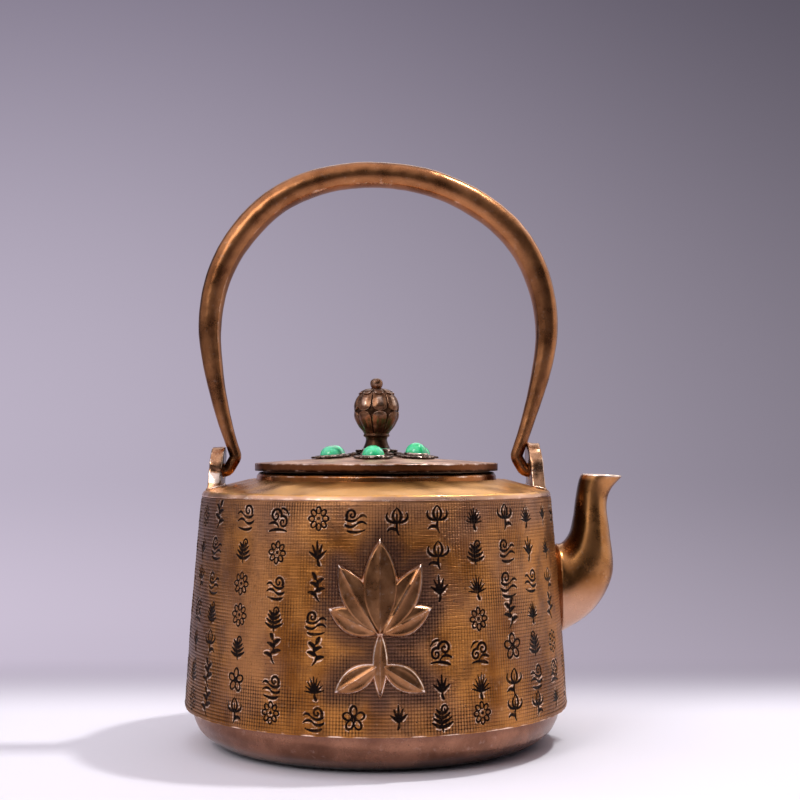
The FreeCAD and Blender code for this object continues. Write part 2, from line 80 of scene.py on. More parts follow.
def woven(points, around=True, along=False, poles=(False, False), **tones):
    """A grid of points (rows, columns, xyz) in millimetres as places, faces and one number a point for each
    tone. A face joins point (i, j) to (i, j + 1), (i + 1, j + 1) and (i + 1, j). The signed volume, a sixth
    of the sum of a dot (b cross c) over the triangles, tells if a closed grid is inside out; then it is
    turned."""
    rows, columns = points.shape[:2]
    numbers = np.arange(rows * columns).reshape(rows, columns)
    for end, row in zip(poles, (0, -1)):
        if end:
            numbers[row, :] = numbers[row, 0]
    if around:
        numbers = np.concatenate([numbers, numbers[:, :1]], axis=1)
    if along:
        numbers = np.concatenate([numbers, numbers[:1]], axis=0)
    quads = np.stack([numbers[:-1, :-1], numbers[:-1, 1:], numbers[1:, 1:], numbers[1:, :-1]], axis=-1)
    quads = quads.reshape(-1, 4)
    at_start = quads[:, 0] == quads[:, 1]
    at_end = quads[:, 2] == quads[:, 3]
    fours = quads[~(at_start | at_end)]
    threes = np.concatenate([quads[at_start][:, [0, 2, 3]], quads[at_end][:, [0, 1, 2]]])
    flat = points.reshape(-1, 3)
    a, b, c, d = (flat[fours[:, k]] for k in range(4))
    e, f, g = (flat[threes[:, k]] for k in range(3))
    volume = np.sum(a * np.cross(b, c)) + np.sum(a * np.cross(c, d)) + np.sum(e * np.cross(f, g))
    if volume < 0:
        fours, threes = fours[:, ::-1], threes[:, ::-1]
    return flat, fours, threes, {name: np.broadcast_to(tone, (rows, columns)).reshape(-1)
                                 for name, tone in tones.items()}


# %% Meshes from woven grids


def make_piece(name, parts, finish, body, crease=35.0):
    """One mesh object from woven parts, in metres, with its place in its mesh. It rides on a body, takes a
    finish, and its faces are smooth except over edges that bend by more than the crease, in degrees."""
    first = np.cumsum([0] + [len(flat) for flat, _, _, _ in parts])
    places = np.concatenate([flat for flat, _, _, _ in parts])
    fours = np.concatenate([four + first[k] for k, (_, four, _, _) in enumerate(parts)])
    threes = np.concatenate([three + first[k] for k, (_, _, three, _) in enumerate(parts)])
    used, corners = np.unique(np.concatenate([fours.ravel(), threes.ravel()]), return_inverse=True)
    starts = np.concatenate([np.arange(len(fours)) * 4, len(fours) * 4 + np.arange(len(threes)) * 3])
    mesh = bpy.data.meshes.new(name)
    mesh.vertices.add(len(used))
    mesh.vertices.foreach_set("co", (places[used] * MM).astype(np.float32).ravel())
    mesh.loops.add(len(corners))
    mesh.loops.foreach_set("vertex_index", corners.astype(np.int32))
    mesh.polygons.add(len(starts))
    mesh.polygons.foreach_set("loop_start", starts.astype(np.int32))
    mesh.update(calc_edges=True)
    mesh.validate()
    for key in parts[0][3]:
        values = np.concatenate([tones[key] for _, _, _, tones in parts])
        mesh.attributes.new(key, "FLOAT", "POINT").data.foreach_set("value", values[used].astype(np.float32))
    mesh.shade_smooth()
    mesh.set_sharp_from_angle(angle=math.radians(crease))
    mesh.materials.append(finish.material)
    piece = bpy.data.objects.new(name, mesh)
    bpy.context.scene.collection.objects.link(piece)
    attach(piece, body)
    print("%-18s %7d triangles" % (name, 2 * len(fours) + len(threes)))
    return piece


# %% [markdown]
# Hand work is never quite even. A sum of a few long waves in random directions gives a surface that rises
# and falls smoothly, the same at every run, and costs nothing but sines. The other small sums here come
# back in nearly every shape: a soft step, a hump, a circle, and a circle pressed towards a square.

# %% Unevenness and other sums


def ripple(points, wavelength, seed):
    """Seven waves of about that length, in millimetres, in random directions: the sum of the sines of
    (direction dot point) times two pi over the wavelength, over 1.2 times the root of seven, so about -1
    to 1."""
    chance = np.random.default_rng(seed)
    waves = 7
    total = 0.0
    for _ in range(waves):
        heading = chance.normal(size=3)
        heading *= 2 * math.pi / wavelength / np.linalg.norm(heading) * chance.uniform(0.7, 1.4)
        total = total + np.sin(points @ heading + chance.uniform(0, 2 * math.pi))
    return total / math.sqrt(waves) / 1.2


def soft_step(value, low, high):
    """0 below low, 1 above high, and between them t * t * (3 - 2 t)."""
    t = np.clip((value - low) / (high - low), 0, 1)
    return t * t * (3 - 2 * t)


def hump(value, middle, width):
    """1 at the middle, falling away on both sides: e to the power of -((value - middle) / width)
    squared."""
    return np.exp(-((value - middle) / width) ** 2)


def full_turn(count):
    """That many angles evenly round a circle."""
    return np.linspace(0, 2 * math.pi, count, endpoint=False)


def carried(radius, angle, z):
    """Points at (radius cos angle, radius sin angle, z)."""
    return np.stack(np.broadcast_arrays(radius * np.cos(angle), radius * np.sin(angle), z), axis=-1)


def squared_off(wave, power):
    """A sine or cosine raised to a power with its sign kept, which presses a circle towards a square."""
    return np.sign(wave) * np.abs(wave) ** power


def rotated(x, y, turn, middle=(0.0, 0.0)):
    """A flat place turned about the origin, then moved: x cos - y sin, x sin + y cos, plus the middle."""
    return (middle[0] + x * math.cos(turn) - y * math.sin(turn),
            middle[1] + x * math.sin(turn) + y * math.cos(turn))


# %% [markdown]
# Finishes are written as sums. The small class below holds one output of a shader node, and its plus, minus
# and times signs add the Math node that does that sum. Every other node comes from one method, add.

# %% Shader sums


def signed(operation, swapped=False):
    """A method that adds the Math node of that operation to the two values."""
    return lambda self, other: self.sum(operation, *((other, self) if swapped else (self, other)))


class Wire:
    """One value in a finish. Python's signs on it add Math nodes; the numbers may stand on either side."""

    def __init__(self, finish, socket):
        self.finish = finish
        self.socket = socket

    def sum(self, operation, *terms):
        return self.finish.add("ShaderNodeMath", {"operation": operation}, dict(enumerate(terms)))

    __add__ = __radd__ = signed("ADD")
    __sub__, __rsub__ = signed("SUBTRACT"), signed("SUBTRACT", swapped=True)
    __mul__ = __rmul__ = signed("MULTIPLY")
    __pow__ = signed("POWER")
    most = signed("MAXIMUM")

    def __neg__(self):
        return self * -1.0

    def sine(self):
        return self.sum("SINE", self)

    def cap(self):
        """The value kept between 0 and 1."""
        return self.sum("MINIMUM", self.most(0.0), 1.0)


# %% A finish


class Finish:
    """A material under construction. Patterns read the object's own coordinates, in metres."""

    def __init__(self, name):
        self.material = bpy.data.materials.new(name)
        self.material.use_nodes = True
        self.tree = self.material.node_tree
        self.shader = self.tree.nodes["Principled BSDF"]
        self.place = self.add("ShaderNodeTexCoord", out="Object")

    def add(self, kind, settings=None, values=None, out=0):
        """A node of that type. Its settings are set first, then the values or links of its sockets."""
        node = self.tree.nodes.new(kind)
        for key, setting in (settings or {}).items():
            setattr(node, key, setting)
        for key, value in (values or {}).items():
            self.feed(node.inputs[key], value)
        return Wire(self, node.outputs[out])

    def feed(self, socket, value):
        """A link from a wire, or a fixed value. A colour's opacity is always 1."""
        if isinstance(value, Wire):
            self.tree.links.new(value.socket, socket)
        else:
            socket.default_value = (*value, 1.0) if socket.type == "RGBA" else value

    def set(self, **values):
        """Sockets of the shader, spaces in their names written as underscores."""
        for key, value in values.items():
            self.feed(self.shader.inputs[key.replace("_", " ")], value)

    def axis(self, letter):
        """One of the object's own coordinates."""
        return self.add("ShaderNodeSeparateXYZ", None, {0: self.place}, out=letter)

    def noise(self, size, detail=2.0, roughness=0.5, stretch=(1, 1, 1)):
        """Soft noise from 0 to 1, with bumps about that size in millimetres."""
        place = self.place
        if stretch != (1, 1, 1):
            place = self.add("ShaderNodeVectorMath", {"operation": "MULTIPLY"}, {0: place, 1: stretch})
        return self.add("ShaderNodeTexNoise", None, {"Vector": place, "Scale": 1000.0 / size,
                                                     "Detail": detail, "Roughness": roughness})

    def fade(self, value, low, high):
        """Smoothly from 0 at low to 1 at high."""
        return self.add("ShaderNodeMapRange", {"interpolation_type": "SMOOTHSTEP"},
                        {"Value": value, "From Min": low, "From Max": high})

    def mix(self, share, first, second):
        """A colour between two colours."""
        return self.add("ShaderNodeMix", {"data_type": "RGBA"}, {0: share, 6: first, 7: second}, out=2)

    def tone(self, name):
        """A number that the mesh holds at each point."""
        return self.add("ShaderNodeAttribute", {"attribute_name": name}, out="Fac")

    def emboss(self, height, depth):
        """Bumps that many millimetres deep where the height runs from 0 to 1."""
        self.set(Normal=self.add("ShaderNodeBump", None, {"Height": height, "Distance": depth * MM}))

    def pits(self, spacing, radius, share):
        """Casting pits: 1 in the middle of a few round spots, 0 elsewhere."""
        node = self.tree.nodes.new("ShaderNodeTexVoronoi")
        self.feed(node.inputs["Vector"], self.place)
        node.inputs["Scale"].default_value = 1000.0 / spacing
        near = self.fade(Wire(self, node.outputs["Distance"]), radius / spacing, 0.3 * radius / spacing)
        few = self.add("ShaderNodeSeparateColor", None, {0: Wire(self, node.outputs["Color"])})
        return near * self.fade(few, 1 - share, 1 - share + 0.05)


def darker(colour, share):
    """A colour with only that share of its light."""
    return tuple(share * c for c in colour)


# %% [markdown]
# Old bronze is one metal in many moods. Handled parts are polished warm and light, hollows keep a dark
# brown skin, and the cast surface has fine grain, pits and cloudy changes of hue. One recipe makes them
# all: a cloudy mix of two body colours, a speckle, pits, and a wear tone that the meshes carry along their
# edges. That tone marks rubbed metal, and on some pieces a painted highlight. Some bands and the dark tone
# paint shade.

# %% Bronze recipe


def bronze(name, deep, body, bright, gloss, cloud, speckle, pit_share, grain,
           worn=True, bands=(), sunk=False):
    """A bronze finish: clouds mix the deep and the body colour, and speckles, worn edges and painted
    highlights show the bright one. The roughness follows the same clouds between the two ends of gloss. Each
    band is (level where it is full, level where it ends, share, colour), with the levels in millimetres over
    the floor. Where a mesh carries the tone called sunk, the colour goes nearly black: a dark skin kept in
    hollows on some pieces, and painted shade on others."""
    finish = Finish(name)
    clouds = finish.fade(finish.noise(cloud, 3.0, 0.6), 0.32, 0.68)
    fine = finish.noise(0.75, 3.0, 0.7)
    spots = finish.noise(2.6, 4.0, 0.65)
    pits = finish.pits(3.4, 0.30, pit_share)
    colour = finish.mix(clouds, deep, body)
    colour = finish.mix(finish.fade(spots, 0.56, 0.80) * speckle, colour, bright)
    colour = finish.mix(finish.fade(fine, 0.62, 0.30) * speckle * 0.8, colour, darker(deep, 0.35))
    if bands:
        height = finish.axis("Z") + (spots - 0.5) * 0.0015
        for full, none, share, tint in bands:
            colour = finish.mix(finish.fade(height, none * MM, full * MM) * share, colour, tint)
    rough = gloss[0] + clouds * (gloss[1] - gloss[0]) + (fine - 0.5) * 0.12
    if worn:
        # The wear tone brings the bright colour: rubbed metal, and on some pieces a painted highlight.
        wear = finish.fade(finish.tone("wear") + (spots - 0.5) * 0.9, 0.35, 0.95)
        colour = finish.mix(wear, colour, bright)
        rough = rough - wear * 0.08
    # The dark tone: a dark skin kept in hollows, and painted shade where a piece marks it so.
    if sunk:
        colour = finish.mix(finish.tone("sunk"), colour, darker(deep, 0.10))
    colour = finish.mix(pits * 0.85, colour, darker(deep, 0.12))
    finish.set(Base_Color=colour, Metallic=1.0 - pits * 0.5, Roughness=rough.cap())
    finish.emboss(fine * 0.5 + spots * 0.9 - pits * 2.0, grain)
    return finish


# %% The bronzes
# Deep, body and bright colour; both ends of the gloss; size of the clouds in millimetres; shares of speckles
# and of pits; depth of the grain in millimetres; and what only some of them have
bronzes = {
    "golden_shoulder": (
        (0.74, 0.36, 0.095), (0.84, 0.44, 0.13), (0.97, 0.74, 0.58), (0.27, 0.40), 22.0, 0.16, 0.10, 0.02,
        {"bands": ((93.5, 94.5, 0.80, (0.62, 0.37, 0.27)), (98.5, 96.8, 0.5, (0.42, 0.175, 0.055)))}),
    # The pan's lowest band, near black up to 3.4 mm over the floor, is a painted contact shadow. The other
    # band makes the pan darker just below the wall's foot.
    "pink_brown_pan": (
        (0.175, 0.076, 0.046), (0.34, 0.158, 0.096), (0.84, 0.60, 0.50), (0.19, 0.31), 17.0, 0.24, 0.3, 0.02,
        {"bands": ((1.0, 3.4, 0.92, (0.012, 0.007, 0.006)), (15.0, 11.0, 0.55, (0.11, 0.050, 0.044)))}),
    # The collar's top band, near black, is painted shade under the lid's rim.
    "worn_collar": (
        (0.27, 0.088, 0.022), (0.46, 0.175, 0.055), (0.95, 0.70, 0.55), (0.18, 0.30), 16.0, 0.15, 0.10, 0.02,
        {"bands": ((101.1, 100.2, 0.95, (0.020, 0.008, 0.004)),)}),
    "orange_brown_handle": (
        (0.225, 0.084, 0.031), (0.47, 0.200, 0.080), (0.95, 0.70, 0.55), (0.24, 0.36), 20.0, 0.22, 0.22, 0.03,
        {}),
    "hammered_ear": (
        (0.38, 0.180, 0.090), (0.66, 0.37, 0.21), (0.97, 0.76, 0.62), (0.20, 0.36), 5.0, 0.35, 0.3, 0.035,
        {"sunk": True}),
    "polished_spout": (
        (0.32, 0.128, 0.037), (0.50, 0.225, 0.080), (0.97, 0.76, 0.62), (0.20, 0.32), 11.0, 0.2, 0.12, 0.02,
        {"sunk": True, "bands": ((48.0, 62.0, 0.65, (0.56, 0.35, 0.26)),)}),
    # The lid's lower band, near black, is painted shade over the gap to the collar. The dark brown band makes
    # the rim's edge darker.
    "speckled_lid": (
        (0.54, 0.30, 0.19), (0.88, 0.57, 0.42), (0.97, 0.79, 0.71), (0.36, 0.50), 9.0, 0.5, 0.3, 0.03,
        {"bands": ((104.4, 105.2, 0.94, (0.165, 0.048, 0.010)),
                   (102.2, 103.0, 0.95, (0.020, 0.008, 0.004)))}),
    "brushed_emblem": (
        (0.26, 0.110, 0.044), (0.39, 0.182, 0.082), (0.97, 0.78, 0.66), (0.26, 0.38), 9.0, 0.25, 0.08, 0.022,
        {}),
    "antique_knob": (
        (0.11, 0.048, 0.024), (0.34, 0.168, 0.092), (0.95, 0.72, 0.56), (0.29, 0.40), 5.0, 0.2, 0.15, 0.03,
        {"sunk": True}),
    "blackened_filigree": (
        (0.030, 0.018, 0.013), (0.11, 0.062, 0.043), (0.86, 0.64, 0.54), (0.22, 0.40), 3.0, 0.35, 0.1, 0.03,
        {}),
    "tinned_inside": (
        (0.20, 0.12, 0.075), (0.30, 0.18, 0.115), (0.5, 0.34, 0.22), (0.40, 0.55), 10.0, 0.3, 0.15, 0.03,
        {"worn": False}),
    "turned_brass": (
        (0.50, 0.34, 0.12), (0.66, 0.47, 0.20), (0.85, 0.66, 0.36), (0.22, 0.34), 6.0, 0.2, 0.15, 0.02,
        {"worn": False}),
}
finishes = {name: bronze(name, *values, **special) for name, (*values, special) in bronzes.items()}
print("finishes", len(finishes))

# %% [markdown]
# The stones are green cabochons, glassy and a little cloudy. Light gathers in them, so they glow more than
# a painted bead would. A coat gives the sharp window reflection, and light scattered under the surface the
# glow.

# %% Green stone
stone = Finish("green_cabochon")
veins = stone.fade(stone.noise(3.5, 4.0, 0.6), 0.35, 0.75)
stone.set(Base_Color=stone.mix(veins, (0.03, 0.68, 0.28), (0.16, 0.95, 0.52)), Roughness=0.08, Metallic=0.0,
          IOR=1.5, Coat_Weight=0.7, Coat_Roughness=0.02, Subsurface_Weight=0.7, Subsurface_Scale=0.003,
          Subsurface_Radius=(0.35, 1.0, 0.5))
print("stone", len(stone.tree.nodes), "shader nodes")

# %% [markdown]
# The wall is a cone that swells a little. Its ground is woven like linen: sixty-six threads lie from foot
# to edge, and 412 finer ones stand round it. The lying threads are cut in the mesh, so that they notch the
# outline of the pot; the standing ones live in the finish.

# %% The wall's own measures
wall_foot_radius, wall_top_radius = 72.0, 66.2
wall_foot, wall_height = 14.2, 78.2
wall_swell = 0.35
thread_rows, thread_turns = 66, 412
thread_pitch = wall_height / thread_rows


def wall_radius(z):
    """Radius of the cast wall at a height: a straight cone plus 4 s t (1 - t), where t runs up the wall."""
    t = (z - wall_foot) / wall_height
    return wall_foot_radius + (wall_top_radius - wall_foot_radius) * t + 4 * wall_swell * t * (1 - t)


def on_wall(turn, z, stand):
    """Points on the wall: turn is the angle from the front towards the spout, stand the height over it."""
    radius = wall_radius(z) + stand
    return np.stack(np.broadcast_arrays(radius * np.sin(turn), -radius * np.cos(turn), z), axis=-1)


print("thread pitch", round(thread_pitch, 3), "mm")

# %% [markdown]
# Columns of small cut marks run down the wall. Here they are sprigs of the kind found on old bronzes: plum
# blossom, daisies, lotus buds, reeds, pine, vines, ferns, curling clouds and surf. A mark is a handful of
# brush strokes; a stroke is a bent line with a width that swells and tapers.

# %% Brush strokes


def brush(x0, y0, x1, y1, x2, y2, width, samples=30):
    """A stroke from the first to the last point, bent towards the middle one (the quadratic curve
    (1-t)(1-t) a + 2 t (1-t) b + t t c). The half width is largest a little over a third of the way along."""
    t = np.linspace(0, 1, samples)
    x = (1 - t) ** 2 * x0 + 2 * t * (1 - t) * x1 + t * t * x2
    y = (1 - t) ** 2 * y0 + 2 * t * (1 - t) * y1 + t * t * y2
    swell = 0.42 + 0.58 * np.sin(math.pi * t ** 0.7)
    return np.stack([x, y, width * swell], axis=-1)


def curl(x, y, radius, first, turns, width):
    """A stroke that winds in to a point: the radius falls evenly as the angle grows."""
    t = np.linspace(0, 1, 44)
    angle = first + turns * 2 * math.pi * t
    reach = radius * (1 - 0.85 * t)
    return np.stack([x + reach * np.cos(angle), y + reach * np.sin(angle), width * (1 - 0.45 * t)], axis=-1)


def ring(x, y, across, up, turn, width, samples=34):
    """A closed stroke along an ellipse, turned by an angle."""
    t = np.linspace(0, 2 * math.pi, samples)
    px, py = rotated(across * np.cos(t), up * np.sin(t), turn, (x, y))
    return np.stack([px, py, width * (0.8 + 0.2 * np.sin(t + 1.0))], axis=-1)


# %% Sprigs with a rule


def blossom(count, reach, size, width):
    """Round petals about a dotted middle."""
    strokes = [ring(0.0, 0.0, 0.10, 0.09, 0.0, 0.24, 10)]
    for turn in math.pi / 2 + 2 * math.pi * np.arange(count) / count:
        strokes.append(ring(reach * math.cos(turn), reach * math.sin(turn), size * 1.15, size * 0.85, turn,
                            width))
    return strokes


def fan(count, spread, width):
    """Needles or blades that open from one point, the middle ones longest."""
    root = -0.45
    strokes = [brush(-0.15, -1.0, 0.05, -0.75, 0.0, root, 0.40)]
    for turn in math.pi / 2 + np.linspace(-spread, spread, count):
        reach = 1.4 - 0.35 * abs(turn - math.pi / 2) / spread
        strokes.append(brush(0.0, root, 0.55 * math.cos(turn), root + 0.75 * math.sin(turn),
                             0.95 * math.cos(turn), root + reach * math.sin(turn), width, 26))
    return strokes


def vine():
    """A winding stem with a solid leaf on either side at each bend."""
    strokes = [brush(-0.25, -1.0, 0.45, -0.35, 0.0, 0.05, 0.28),
               brush(0.0, 0.05, -0.35, 0.45, 0.15, 1.0, 0.26)]
    leaves = ((0.12, -0.45, 0.35), (-0.02, -0.15, 2.75), (-0.08, 0.25, 0.55), (-0.06, 0.5, 2.45),
              (0.1, 0.85, 1.2))
    for x, y, turn in leaves:
        tip_x, tip_y = x + 0.78 * math.cos(turn), y + 0.62 * math.sin(turn)
        strokes.append(brush(x, y, (x + tip_x) / 2, (y + tip_y) / 2 + 0.16, tip_x, tip_y, 0.56, 22))
    return strokes


def fern():
    """A stem with a curled tip and four pairs of leaflets, shorter towards the tip."""
    strokes = [brush(0.05, -1.08, -0.22, -0.3, 0.0, 0.42, 0.28), curl(0.26, 0.62, 0.34, 3.5, -1.15, 0.28)]
    for step, y in enumerate((-0.72, -0.38, -0.05, 0.26)):
        reach = 0.92 - 0.13 * step
        for way in (-1, 1):
            strokes.append(brush(-0.1, y, way * 0.4 * reach, y + 0.02, way * reach, y + 0.34, 0.46, 20))
    return strokes


# %% All the sprigs
sprigs = {
    "plum": blossom(5, 0.60, 0.34, 0.30),
    "daisy": blossom(8, 0.66, 0.24, 0.24),
    "cloud": [
        curl(-0.32, 0.34, 0.58, 0.2, 1.35, 0.38), curl(0.46, -0.10, 0.50, 2.0, -1.3, 0.36),
        brush(-0.98, -0.4, -0.3, 0.02, 0.1, -0.52, 0.38), brush(-0.85, -0.95, 0.0, -0.55, 0.95, -0.78, 0.42),
        brush(0.15, 0.98, 0.75, 1.0, 0.98, 0.48, 0.30)],
    "surf": [
        curl(-0.35, 0.45, 0.5, 3.6, -1.2, 0.36), brush(-0.95, 0.1, -0.3, -0.3, 0.35, 0.25, 0.38),
        brush(0.35, 0.25, 0.7, 0.55, 1.0, 0.25, 0.34), brush(-1.0, -0.35, -0.45, -0.75, 0.1, -0.3, 0.40),
        brush(0.1, -0.3, 0.55, 0.02, 1.0, -0.32, 0.36), brush(-0.8, -0.85, -0.1, -1.15, 0.85, -0.8, 0.40)],
    "lotus": [
        brush(0, -0.15, -0.72, 0.42, 0, 1.05, 0.36, 36), brush(0, -0.15, 0.72, 0.42, 0, 1.05, 0.36, 36),
        brush(-0.12, -0.12, -1.15, 0.05, -0.85, 0.66, 0.36), brush(0.12, -0.12, 1.15, 0.05, 0.85, 0.66, 0.36),
        brush(0.0, -0.15, 0.14, -0.6, -0.12, -1.05, 0.34), brush(0.0, -0.72, 0.5, -0.35, 0.85, -0.72, 0.44),
        brush(0.0, 0.0, 0.02, 0.4, 0.0, 0.62, 0.26, 20)],
    "reeds": fan(5, 0.95, 0.38),
    "pine": fan(9, 1.35, 0.25),
    "vine": vine(),
    "fern": fern(),
}
sprigs = {name: np.concatenate(strokes) for name, strokes in sprigs.items()}
print("sprigs", {name: len(points) for name, points in sprigs.items()})

# %% [markdown]
# The raised emblem is a lotus in eight blades. Its outline is needed twice: the blades themselves stand on
# it, and the ground round it stays dark, where no polishing cloth could reach.

# %% The lotus blades as flat outlines
emblem_width, emblem_height, emblem_low = 35.6, 53.8, 26.6
# Lean from upright in degrees; length, width and level of the root as shares of the emblem; height in
# millimetres over the wall
side_blades = [(122.0, 0.34, 0.24, 0.22, 1.5), (64.0, 0.365, 0.27, 0.40, 1.7), (30.0, 0.53, 0.31, 0.38, 2.0)]
blades = [(180.0, 0.44, 0.16, 0.44, 1.5),
          *((side * lean, *sizes) for lean, *sizes in side_blades for side in (1, -1)),
          (0.0, 0.62, 0.36, 0.38, 2.35)]


def blade_outline(lean, length, width, root, along, across):
    """Flat place on a blade: along runs from its root to its tip, across from edge to edge. The half width
    swells from nothing and back: half of the width times 4 t (1 - t)."""
    angle = math.radians(lean)
    half = width * emblem_width / 2 * 4 * along * (1 - along)
    reach = length * emblem_height * along
    x = reach * math.sin(angle) + across * half * math.cos(angle)
    z = emblem_low + root * emblem_height + reach * math.cos(angle) - across * half * math.sin(angle)
    return x, z, half


# %% Distance from the emblem
halo_reach = 12.0
edges = [blade_outline(*blade[:4], np.linspace(0, 1, 34), np.linspace(-1, 1, 7)[:, None]) for blade in blades]
emblem_points = np.concatenate([np.stack([x, z], axis=-1).reshape(-1, 2) for x, z, _ in edges])


def from_emblem(x, z):
    """Distance in millimetres from each place on the front to the nearest point of the emblem, or the
    halo's reach if that is less. Only places in a box round the emblem are measured, some thousand at a
    time."""
    places = np.stack([x, z], axis=-1)
    above, below = places > emblem_points.min(0) - halo_reach, places < emblem_points.max(0) + halo_reach
    near = (above & below).all(-1)
    distance = np.full(x.shape, halo_reach)
    blocks = np.array_split(places[near], max(1, near.sum() // 4000))
    distance[near] = np.concatenate([np.sqrt(((block[:, None, :] - emblem_points) ** 2).sum(-1).min(1))
                                     for block in blocks])
    return np.minimum(distance, halo_reach)


print("emblem points", len(emblem_points))

# %% [markdown]
# The skin of the wall is one large grid, cut into four belts so that no mesh gets too heavy. Its columns
# stand closer together where marks are cut. Each mark lowers the points near its strokes to a sharp valley
# with a small raised lip, and leaves a dark tone there for the finish to pick up.

# %% Where the marks stand
front_turns = [-69, -58, -44, -31, -18, -7, 5, 17, 29, 41, 51.5, 63.5]
mark_turns = np.radians(np.array(front_turns + [75.5 + 12 * k for k in range(18)]))
mark_levels = np.array([86.2, 74.6, 63.3, 52.3, 41.2, 30.2, 20.6])
mark_half_width, mark_half_height = 4.05, 4.55
clear_of_emblem = 5.4
spout_seat_turn, spout_seat_low, spout_seat_high = 0.26, 33, 80
chance = np.random.default_rng(12)
marks = []
for turn in mark_turns:
    for level in mark_levels:
        z = level + chance.uniform(-0.6, 0.6)
        x = wall_radius(z) * math.sin(turn)
        lean = chance.normal(0, 0.05)
        size = chance.uniform(0.86, 1.0)
        kind = list(sprigs)[int(chance.integers(len(sprigs)))]
        swap = chance.choice([-1, 1])
        in_front = math.cos(turn) > 0.5
        on_emblem = in_front and from_emblem(np.array([x]), np.array([z]))[0] < clear_of_emblem
        under_spout = abs(turn - math.pi / 2) < spout_seat_turn and spout_seat_low < z < spout_seat_high
        if not (on_emblem or under_spout):
            marks.append((turn, z, kind, size, lean, swap))
print("marks", len(marks))

# %% Columns and rows of the skin
mean_radius = 70.0
mark_spacing, plain_spacing, mark_sector = 0.27, 0.72, math.radians(3.7)
rows_a_thread = 4


def turned_apart(turns, turn):
    """Difference of two angles, brought between -pi and pi."""
    return (turns - turn + math.pi) % (2 * math.pi) - math.pi


turns_fine = np.linspace(-math.pi, math.pi, 7201)
nearest = np.abs(turned_apart(turns_fine[:, None], mark_turns)).min(1)
density = 1 / np.where(nearest < mark_sector, mark_spacing, plain_spacing)
mean_density = (density[1:] + density[:-1]) / 2
steps = np.concatenate([[0.0], np.cumsum(mean_density * np.diff(turns_fine) * mean_radius)])
column_count = int(steps[-1])
columns = np.interp(np.arange(column_count) * steps[-1] / column_count, steps, turns_fine)
skin_rows = thread_rows * rows_a_thread
levels = wall_foot + wall_height * np.arange(skin_rows + 1) / skin_rows
turn_grid, level_grid = np.meshgrid(columns, levels)
print("skin", level_grid.shape)

# %% Cut the marks
mark_margin = 1.2
stroke_widening = 1.28
valley = np.zeros_like(turn_grid)
lip = np.zeros_like(turn_grid)
for turn, z, kind, size, lean, swap in marks:
    radius = wall_radius(z)
    apart = turned_apart(columns, turn)
    rows = np.nonzero(np.abs(levels - z) < mark_half_height + mark_margin)[0]
    cols = np.nonzero(np.abs(apart) * radius < mark_half_width + mark_margin)[0]
    x, y = np.meshgrid(apart[cols] * radius, levels[rows] - z)
    strokes = sprigs[kind]
    sx, sy = rotated(strokes[:, 0] * swap * mark_half_width * size,
                     strokes[:, 1] * mark_half_height * size, lean)
    away = np.sqrt((x[..., None] - sx) ** 2 + (y[..., None] - sy) ** 2)
    share = (away / (strokes[:, 2] * stroke_widening)).min(-1)
    block = np.ix_(rows, cols)
    valley[block] = np.maximum(valley[block], np.clip(1.25 - share, 0, 1))
    lip[block] = np.maximum(lip[block], hump(share, 1.75, 0.45))
lip *= 1 - valley
print("cut share", round(float((valley > 0.1).mean()), 3))

# %% [markdown]
# The weave is not the same everywhere. Hands and cloths have worn it almost flat on the shoulders of the
# belly, while near the foot, near the edges and round the emblem it is deep. It is deeper on the left side
# too, which darkens that side as painted shade. The tone called weave says how deep it is. Two faint joint
# lines of the mould show in places.

# %% Depth of the weave, and the dark halo
skin_points = on_wall(turn_grid, level_grid, 0.0)
flow = ripple(skin_points * np.array([1.0, 1.0, 0.55]), 34.0, 5) * 0.5 + ripple(skin_points, 11.0, 6) * 0.35
far_aside = 90.0
halo = 1 - soft_step(from_emblem(np.where(np.cos(turn_grid) > 0, skin_points[..., 0], far_aside), level_grid),
                     0.5, 7.0)
near_foot = 1 - soft_step(level_grid, 20, 36)
near_top = soft_step(level_grid, 80, 90)
# Deeper weave on the left darkens that side: painted shade.
side = soft_step(-np.sin(turn_grid), 0.45, 0.95)
weave = np.clip(0.48 + 0.68 * flow + 0.50 * near_foot + 0.28 * near_top + 0.30 * side + 0.7 * halo, 0.05, 1.0)
rim_worn = np.maximum(soft_step(level_grid, 91.5, 92.3), 1 - soft_step(level_grid, 14.3, 15.1))
weave *= 1 - 0.85 * rim_worn
thread = 0.5 + 0.5 * np.cos(2 * math.pi * (level_grid - wall_foot) / thread_pitch)
seams = (hump(level_grid - 46.6 + 0.5 * np.sin(3 * turn_grid), 0, 0.30) * soft_step(flow, -0.35, 0.15)
         + hump(level_grid - 69.0 + 0.4 * np.sin(2 * turn_grid), 0, 0.26) * soft_step(flow, 0.1, -0.35))
print("mean weave", round(float(weave.mean()), 2), "halo share", round(float((halo > 0.5).mean()), 3))

# %% [markdown]
# Now the stand of every point over the cast wall: the skin, less the threads, the valleys and the joint
# lines, plus the lips, plus a slow unevenness. The upper and lower edge roll over.

